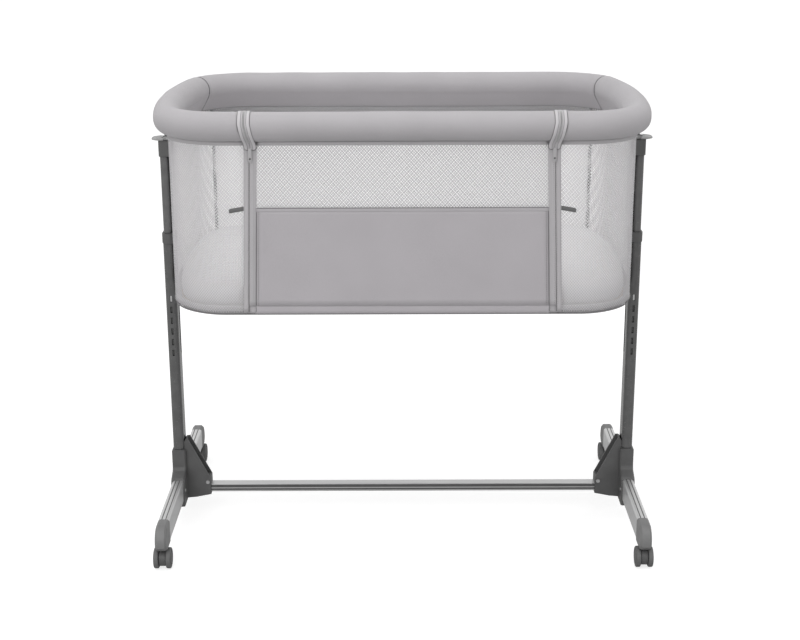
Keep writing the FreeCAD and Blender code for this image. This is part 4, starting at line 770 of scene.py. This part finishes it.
# Binding that joins the walls to the rail, with a dark line above it, which is painted shade in the crease
# under the rail.
BIND_LOW, BIND_HIGH = 0.8085, 0.8152
for name, body, start, end in (
    ("wall_binding_basket", "basket", BAND_OUT, 2 * HALF_WAY - BAND_OUT),
    ("wall_binding_front", "front_panel", -BAND_IN, BAND_IN),
):
    band = strip(name, EDGING, start, end, BIND_LOW, BIND_HIGH, 0.0014, 0.0012)
    settle(band, body, "grey_fabric")
    # Painted shade: a dark line in the crease under the rail.
    line = strip(name + "_line", DARK_PIPING_AND_SHADE, start, end, BIND_HIGH - 0.0002, BIND_HIGH + 0.0014,
                 0.0022, 0.0022)
    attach(line, body)
    sewn = level_stitches(name + "_stitches", PALE_THREAD, start + 0.002, end - 0.002,
                          BIND_LOW + 0.0016, 0.002)
    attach(sewn, body)

# Seam tapes up the back corners of the mesh, and a band of dark netting with pale holes along its top
# inside, which is painted shade under the back rail.
TAPE_SEAM = corner_at(43.5)
for side, sign in SIDES:
    s = TAPE_SEAM if sign > 0 else 2 * HALF_WAY - TAPE_SEAM
    seam = wall("corner_seam_" + side, s - 0.004, s + 0.004, WALL_LOW, WALL_HIGH, -0.0012, SEAM_NET,
                0.0008, step=0.004)
    settle(seam, "basket", "mesh_fabric")
SHADE_BAND_LOW, SHADE_BAND_HIGH = 0.782, 0.7985
hem = wall("mesh_hem_painted_shade", corner_at(0), 2 * HALF_WAY - corner_at(0), SHADE_BAND_LOW, SHADE_BAND_HIGH, -0.0011, HEM_SHADE_NET,
           0.0006)
settle(hem, "basket", "mesh_fabric")

# -------- zip tapes over the rail

RIBBON_X, RIBBON_LEAN = 0.2736, 0.0088
LOW_TURN, HIGH_TURN = math.radians(-52), math.radians(205)
HANG = 0.021


def ribbon_path(count):
    """Path of the rail zips, from inside over the rail to the end that hangs before the wall:
    outward places, heights, their normals, how far they lean and the length."""
    turn = np.linspace(HIGH_TURN, LOW_TURN, count)
    share = np.linspace(0, 1, 12)[1:]
    start_out, start_up = PAD_RADIUS * math.cos(LOW_TURN), PAD_RADIUS * math.sin(LOW_TURN)
    hang_out = start_out + (0.0036 - start_out) * (1 - (1 - share) ** 1.6)
    hang_up = start_up - HANG * share
    out = np.concatenate([PAD_RADIUS * np.cos(turn), hang_out])
    up = np.concatenate([PAD_RADIUS * np.sin(turn), hang_up])
    facing = np.concatenate([turn, LOW_TURN * (1 - share) * 0.9])
    length = np.concatenate([[0], np.cumsum(np.hypot(np.diff(out), np.diff(up)))])
    slant = (length - PAD_RADIUS * (HIGH_TURN - math.radians(18))) / 0.046
    lean = RIBBON_LEAN * np.clip(slant, 0, 1)
    return out, up, np.cos(facing), np.sin(facing), lean, length


def rail_ribbon(name, material, side, near, far, lift, thickness, short=0.0009):
    """A strip over the rail beside the zip's line, between two distances from it, with a
    rounded hanging end."""
    *path, length = ribbon_path(64)
    places = length * (1 - short / length[-1])
    out, up, normal_out, normal_up, lean = (np.interp(places, length, values) for values in path)
    length = places
    profile = [(0, -1), (0, 0.4), (0.1, 1), (0.5, 1.15), (0.9, 1), (1, 0.4), (1, -1), (0.5, -1)]
    across = near + (far - near) * np.array([p[0] for p in profile])
    rise = lift + thickness / 2 * np.array([p[1] for p in profile])
    past = np.clip((length - length[-1] + 0.005) / 0.005, 0, 0.97)
    narrow = np.sqrt(1 - past ** 2)
    middle = math.copysign(0.0055, near + far)
    across = middle + (across[None] - middle) * narrow[:, None]
    s = side * (RIBBON_X - lean[:, None] + across)
    grid = on_plan(s, out[:, None] + normal_out[:, None] * rise,
                   RAIL_HEIGHT + up[:, None] + normal_up[:, None] * rise)
    return closed_tube(name, grid, material, length[:, None], across)


for side, sign in SIDES:
    for body, way in (("basket", 1), ("front_panel", -1)):
        name = "rail_zip_%s_%s" % (side, "outer" if way > 0 else "inner")
        for part, cloth, near, far, lift, thickness in (
            # The dark edge strip shows as an outline round each tape: painted shade along the raised tape's
            # edges.
            ("edge", SEAM_SHADE, 0.0002, 0.0113, 0.0002, 0.001),
            ("tape", RIBBON_CLOTH, 0.0003, 0.0104, 0.0006, 0.001),
            ("line", DARK_PIPING_AND_SHADE, 0.0043, 0.0049, 0.0008, 0.0012),
            ("binding", BINDING_CLOTH, 0.0050, 0.0102, 0.0012, 0.0014),
        ):
            piece = rail_ribbon(name + "_" + part, cloth, sign, way * near, way * far, lift, thickness,
                                0.0 if part == "edge" else 0.0012)
            settle(piece, body, "grey_fabric")
        out, up, normal_out, normal_up, lean, length = ribbon_path(140)
        places = row_of(0.002, length[-1] - HANG + 0.004, TEETH_PITCH)
        places = places + (TEETH_PITCH / 2 if way > 0 else 0)
        out, up, normal_out, normal_up, lean = (
            np.interp(places, length, values) for values in (out, up, normal_out, normal_up, lean))
        centres = on_plan(sign * (RIBBON_X - lean + way * 0.0009), out + normal_out * 0.0012,
                          RAIL_HEIGHT + up + normal_up * 0.0012)
        normals = np.stack([np.zeros(out.shape), -normal_out, normal_up], -1)
        teeth = studs(name + "_teeth", LIT_RAIL_TEETH, centres, (1, 0, 0), normals, 0.0026, 0.0011, 0.0008)
        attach(teeth, body)

# -------- zip sliders

def slab(name, outline, front, thickness, material, soften=0.0005):
    """An upright slab facing the front, from an outline in x and z."""
    outline = np.asarray(outline, float)
    count = len(outline)
    back = np.stack([outline[:, 0], np.full(count, front + thickness), outline[:, 1]], -1)
    face = np.stack([outline[:, 0], np.full(count, front), outline[:, 1]], -1)
    faces = [list(range(count)), [count + i for i in range(count)][::-1]]
    faces += [(i, i + count, (i + 1) % count + count, (i + 1) % count) for i in range(count)]
    piece = make(name, np.concatenate([face, back]), faces, material, smooth=True)
    edge = piece.modifiers.new("edges", "BEVEL")
    edge.width = soften
    edge.segments = 2
    edge.limit_method = "ANGLE"
    return piece


def rounded(left, right, low, high, radius, steps=6):
    """Outline of a rectangle with round corners."""
    points = []
    for x, z, start in ((right, high, 0), (left, high, 90), (left, low, 180), (right, low, 270)):
        cx = x - radius if x == right else x + radius
        cz = z - radius if z == high else z + radius
        for step in range(steps + 1):
            angle = math.radians(start + 90 * step / steps)
            points.append((cx + radius * math.cos(angle), cz + radius * math.sin(angle)))
    return points


SLIDER_SHIFT, SLIDER_THICK = 0.0046, 0.0026
PULLER_HALF, PULLER_LENGTH = 0.0032, 0.025
EYELET_RADIUS, EYELET_UP = 0.0017, 0.0065
for side, sign in SIDES:
    low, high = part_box("zip_slider_" + side)
    middle = (low.x + high.x) / 2 - sign * SLIDER_SHIFT
    top = high.z
    outline = [(middle - 0.0045, top - 0.001), (middle - 0.0032, top), (middle + 0.0032, top),
               (middle + 0.0045, top - 0.001), (middle + 0.004, top - 0.009),
               (middle + 0.0018, top - 0.014), (middle - 0.0018, top - 0.014),
               (middle - 0.004, top - 0.009)]
    face = min(high.y - 0.0028, -HALF_DEPTH - 0.0052)
    slider = slab("zip_slider_body_" + side, outline, face, SLIDER_THICK, MATERIALS["zip_metal"])
    settle(slider, "zip_slider_" + side, "zip_metal", "zip_slider_" + side)
    outline = rounded(middle - PULLER_HALF, middle + PULLER_HALF, low.z, low.z + PULLER_LENGTH, 0.003)
    puller = slab("zip_puller_" + side, outline, low.y, 0.0013, MATERIALS["zip_metal"], 0.0003)
    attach(puller, "zip_slider_" + side)
    # The eyelet is a near-black disc on the puller: painted shade standing for its hole.
    angle = np.linspace(0, TURN, 16, endpoint=False)
    circle = np.stack([middle + EYELET_RADIUS * np.cos(angle),
                       low.z + EYELET_UP + EYELET_RADIUS * np.sin(angle)], -1)
    eyelet = slab("zip_eyelet_" + side, circle, low.y - 0.0002, 0.0006, MATERIALS["steel_hole"], 0.0001)
    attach(eyelet, "zip_slider_" + side)

# -------- webbing tabs

low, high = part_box("webbing_tabs")
LOOP = 0.026
for side, sign in SIDES:
    t = np.linspace(0, 1, 15)
    x0 = BAND_OUT + 0.0004
    x = x0 + LOOP * t
    centre = (low.z + high.z) / 2 + 0.0012 - 0.0045 * t
    half = 0.0040 * np.ones(t.shape)
    half[-1] = 0.0026
    half[0] = 0.0036
    swell = 0.0006 + 0.0014 * np.exp(-((t - 0.93) / 0.09) ** 2)
    v = np.array([(-1, 0), (-0.9, 1), (0, 1.15), (0.9, 1), (1, 0), (0.9, -1), (0, -1), (-0.9, -1)])
    swell, half = swell[:, None], half[:, None]
    grid = np.stack(np.broadcast_arrays(
        sign * x[:, None], -HALF_DEPTH - 0.0012 - swell - v[:, 1] * swell,
        centre[:, None] + v[:, 0] * half), -1)
    tab = closed_tube("webbing_tab_" + side, grid, WEBBING, x[:, None], grid[..., 2])
    settle(tab, "basket", "dark_webbing", *(["webbing_tabs"] if sign < 0 else []))

# -------- tray under the basket

TRAY_LOW, TRAY_SEAM = 0.499, 0.5065
PIPING_LOW, PIPING_HIGH = 0.5000, 0.5022
profile = [(-0.0030, WALL_LOW - 0.0003), (-0.0004, WALL_LOW - 0.0002), (0, WALL_LOW - 0.0006),
           (0, WALL_LOW - 0.0016), (0, 0.5120), (0, 0.5085), (-0.0001, 0.5068), (-0.0006, 0.5050),
           (-0.0022, 0.5022), (-0.0052, 0.4998), (-0.0090, TRAY_LOW), (-0.0130, TRAY_LOW),
           (-0.03, TRAY_LOW)]
marks = [mark + shift for mark in (BAND_IN, BAND_OUT) for shift in (-0.0003, 0.0003)]
s = np.sort(np.concatenate([np.linspace(0, 2 * HALF_WAY, 361)[:-1], marks,
                            2 * HALF_WAY - np.array(marks)]))
from_front = np.minimum(s, 2 * HALF_WAY - s)
flush = np.where(from_front < BAND_IN, 0.0014, np.where(from_front < BAND_OUT, -0.0008, -0.0012))
rings = [on_plan(s, flush + out, up) for out, up in profile]
for share in (0.9, 0.75, 0.55, 0.35, 0.15):
    ring = rings[len(profile) - 1] * [share, share, 1]
    ring[:, 2] = TRAY_LOW
    rings.append(ring)
grid = np.array(rings)
faces = grid_faces(*grid.shape[:2], wrap=True)
faces.append([(len(rings) - 1) * len(s) + i for i in range(len(s))])
tray = make("base_tray_cover", grid, faces, BACKED_NET, PANEL_CLOTH, BASE_CLOTH, TAPE_CLOTH)
upright = grid[..., 2] > TRAY_LOW + 0.0003
threads(tray, np.where(upright, s, grid[..., 0]), np.where(upright, grid[..., 2], grid[..., 1]))
centre = np.empty(len(tray.data.polygons) * 3)
tray.data.polygons.foreach_get("center", centre)
centre = centre.reshape(-1, 3)
in_front = centre[:, 1] < -HALF_DEPTH + 0.02
kind = np.where((np.abs(centre[:, 0]) < BAND_OUT) & in_front, 3, 0)
kind = np.where((np.abs(centre[:, 0]) < BAND_IN) & in_front, 1, kind)
kind = np.where(centre[:, 2] < TRAY_LOW + 0.0004, 2, kind)
tray.data.polygons.foreach_set("material_index", kind.astype(np.int32))
slanted(tray)
thicken(tray, 0.0012, 1.0)
settle(tray, "basket", "base_fabric", "base_tray")
piping = strip("base_tray_piping", DARK_PIPING_AND_SHADE, 0, 2 * HALF_WAY, PIPING_LOW, PIPING_HIGH,
               -0.0018, 0.0022)
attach(piping, "basket")
sewn = level_stitches("base_tray_stitches", THREAD, BAND_OUT, 2 * HALF_WAY - BAND_OUT, TRAY_SEAM, 0.0008)
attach(sewn, "basket")
for side, sign in SIDES:
    lines = ((ZIP - 0.0007, ZIP, 0.0016), (EDGE_NEAR, EDGE_FAR, 0.0012))
    for number, (near, far, lift) in enumerate(lines):
        line = upright_strip("base_tray_line_%s_%d" % (side, number), DARK_PIPING_AND_SHADE,
                             sign * near, sign * far, TRAY_SEAM, WALL_LOW - 0.0012, lift, 0.0006)
        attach(line, "basket")

# -------- mattress

def cushion(name, inset, low, high, crown, material):
    """A thick pad with drawn-in upper and lower edges, blown up a little as cloth."""
    s = np.linspace(0, 2 * HALF_WAY, 241)[:-1]
    middle = (low + high) / 2
    profile = [(0.0, middle - (middle - low) * 0.86), (0.0035, middle - (middle - low) * 0.5),
               (0.005, middle), (0.0035, middle + (high - middle) * 0.5),
               (0.0, middle + (high - middle) * 0.86), (-0.004, high)]
    rings = [on_plan(s, -inset - 0.004, low)]
    rings += [on_plan(s, -inset + out, up) for out, up in profile]
    outer = rings[-1]
    below = rings[0]
    for share in (0.93, 0.8, 0.6, 0.4, 0.2):
        ring = outer * [share, share, 1]
        ring[:, 2] = high + crown * (1 - share ** 2.5)
        rings.append(ring)
        ring = below * [share, share, 1]
        rings.insert(0, ring)
    grid = np.array(rings)
    level = grid[..., 2] > high - 0.001
    across = grid[..., 2] + np.where(level, grid[..., 1], 0)
    return closed_tube(name, grid, material, np.where(level, grid[..., 0], s), across)


low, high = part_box("mattress")
mattress = cushion("mattress_cover", HALF_LENGTH - high.x + 0.003, low.z, high.z - 0.004, 0.003,
                   MATTRESS_CLOTH)
settle(mattress, "mattress", "mattress_fabric", "mattress")

# -------- ring under the tray

RING_X, RING_Y, RING_CORNER, RING_TUBE = 0.428, 0.185, 0.080, 0.0059
path = np.array(rounded(-RING_X, RING_X, -RING_Y, RING_Y, RING_CORNER, 14))
dense = []
for first, second in zip(path, np.roll(path, -1, axis=0)):
    pieces = max(int(np.linalg.norm(second - first) / 0.03), 1)
    dense += [first + (second - first) * k / pieces for k in range(pieces)]
path = np.array(dense)
tangent = np.roll(path, -1, axis=0) - np.roll(path, 1, axis=0)
tangent /= np.linalg.norm(tangent, axis=1)[:, None]
away = np.stack([tangent[:, 1], -tangent[:, 0]], -1)
turn = np.linspace(0, TURN, 20, endpoint=False)
low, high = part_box("base_ring")
grid = np.concatenate([
    path[:, None, :] + RING_TUBE * np.cos(turn)[None, :, None] * away[:, None, :],
    np.broadcast_to((low.z + high.z) / 2 + RING_TUBE * np.sin(turn)[None, :, None],
                    (len(path), len(turn), 1)),
], -1)
grid = np.concatenate([grid, grid[:1]])
ring = make("base_ring_tube", grid, grid_faces(*grid.shape[:2], wrap=True),
            MATERIALS["dark_frame_metal"])
weld = ring.modifiers.new("join", "WELD")
weld.merge_threshold = 0.00001
settle(ring, "basket", "dark_frame_metal", "base_ring")

# -------- caster wheels

def lathe(name, outline, centre, material, steps=72):
    """A solid turned about an axis along X, from pairs of radius and place."""
    turn = np.linspace(0, TURN, steps, endpoint=False)
    grid = np.array([np.stack([np.full(steps, centre[0] + x), centre[1] + r * np.cos(turn),
                               centre[2] + r * np.sin(turn)], -1) for r, x in outline])
    return closed_tube(name, grid, material, 0, 0)


WHEEL = [(0.0030, -0.0052), (0.0168, -0.0052), (0.0185, -0.0052), (0.0196, -0.0044), (0.0200, -0.0030),
         (0.0200, 0.0026), (0.0197, 0.0040), (0.0186, 0.0050), (0.0172, 0.0054), (0.0160, 0.0050),
         (0.0152, 0.0034), (0.0120, 0.0030), (0.0112, 0.0036), (0.0104, 0.0052), (0.0060, 0.0057),
         (0.0018, 0.0056)]
WHEEL_APART, WHEEL_WIDTH = 0.0117, 0.86
for side, sign in SIDES:
    for end in ("front", "back"):
        corner = "%s_%s" % (end, side)
        low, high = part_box("caster_wheels_" + corner)
        middle = (low + high) / 2
        for way, name in ((-1, "inner"), (1, "outer")):
            outline = [(r, way * x * WHEEL_WIDTH) for r, x in WHEEL]
            wheel = lathe("caster_wheel_%s_%s" % (corner, name), outline,
                          (middle.x + way * WHEEL_APART, middle.y, middle.z), MATERIALS["wheel_plastic"])
            settle(wheel, "caster_wheels_" + corner, "wheel_plastic",
                   *(["caster_wheels_" + corner] if way > 0 else []))

# -------- dark strips in the grooves of the bars: painted shade in the recesses

def block(name, low, high, material):
    """A plain closed block between two corners."""
    points = [(x, y, z) for x in (low[0], high[0]) for y in (low[1], high[1]) for z in (low[2], high[2])]
    faces = [(0, 1, 3, 2), (4, 6, 7, 5), (0, 4, 5, 1), (2, 3, 7, 6), (0, 2, 6, 4), (1, 5, 7, 3)]
    return make(name, points, faces, material, smooth=False)


FOOT_GROOVE_SHADE_HALF = 0.00095
for side, sign in SIDES:
    low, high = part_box("foot_bar_" + side)
    middle = (low.x + high.x) / 2
    for number, shift in enumerate((-1, 1)):
        place = middle + shift * (high.x - low.x) / 6
        shaded_groove = block("foot_inlay_%s_%d" % (side, number),
                      (place - FOOT_GROOVE_SHADE_HALF, low.y + 0.0005, high.z - 0.0013),
                      (place + FOOT_GROOVE_SHADE_HALF, high.y - 0.0005, high.z - 0.0003), GROOVE_SHADE)
        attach(shaded_groove, "stand")
low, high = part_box("cross_bar")
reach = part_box("foot_bracket_right")[0].x + 0.002
for name, face, way in (("front", low.y, -1), ("back", high.y, 1)):
    places = sorted((face - way * 0.0006, face + way * 0.0005))
    grooves = ((low.z + 0.0036, low.z + 0.0072), (high.z - 0.0066, high.z - 0.0008))
    for number, (under, over) in enumerate(grooves):
        shaded_groove = block("cross_bar_inlay_%s_%d" % (name, number), (-reach, places[0], under),
                      (reach, places[1], over), GROOVE_SHADE)
        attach(shaded_groove, "stand")

# -------- softened edges of the CAD parts

BEVELS = {"foot_bracket": 0.0012, "foot_cap": 0.0015, "top_housing": 0.001, "tube_collar": 0.0006,
          "release_lever": 0.0006, "caster_fork": 0.0008, "base_bracket": 0.0008, "foot_bar": 0.0003,
          "cross_bar": 0.0003, "lower_tube": 0.0003}
for node, thing in NODES.items():
    width = next((w for stem, w in BEVELS.items() if node.startswith(stem)), None)
    if not width:
        continue
    joined = thing.modifiers.new("join", "WELD")
    joined.merge_threshold = 0.00001
    edge = thing.modifiers.new("edges", "BEVEL")
    edge.width = width
    edge.segments = 2
    edge.limit_method = "ANGLE"
    edge.angle_limit = math.radians(32)
    edge.use_clamp_overlap = True
    even = thing.modifiers.new("shading", "WEIGHTED_NORMAL")
    even.keep_sharp = False

# -------- floor

floor_finish = Finish("studio_floor", 0.9, specular=0.1)
floor_finish.colour(floor_finish.ramp(floor_finish.noise(3, 2), [(0.3, (0.49, 0.49, 0.49)),
                                                                 (0.7, (0.51, 0.51, 0.51))]))
paths = floor_finish.tree.nodes.new("ShaderNodeLightPath").outputs
seen = floor_finish.math("MAXIMUM", paths["Is Camera Ray"], paths["Is Transmission Ray"])
seen = floor_finish.math("MAXIMUM", seen, floor_finish.math("MULTIPLY", paths["Is Glossy Ray"], 0.3))
floor_finish.shader.inputs["Emission Color"].default_value = (1, 1, 1, 1)
floor_finish.link(floor_finish.math("MULTIPLY", seen, 0.74),
                  floor_finish.shader.inputs["Emission Strength"])
EDGE = 14.0
floor = make("studio_floor", [(-EDGE, -EDGE, 0), (EDGE, -EDGE, 0), (EDGE, EDGE, 0), (-EDGE, EDGE, 0)],
             [(0, 1, 2, 3)], floor_finish.material)
floor.location.z = -0.0005
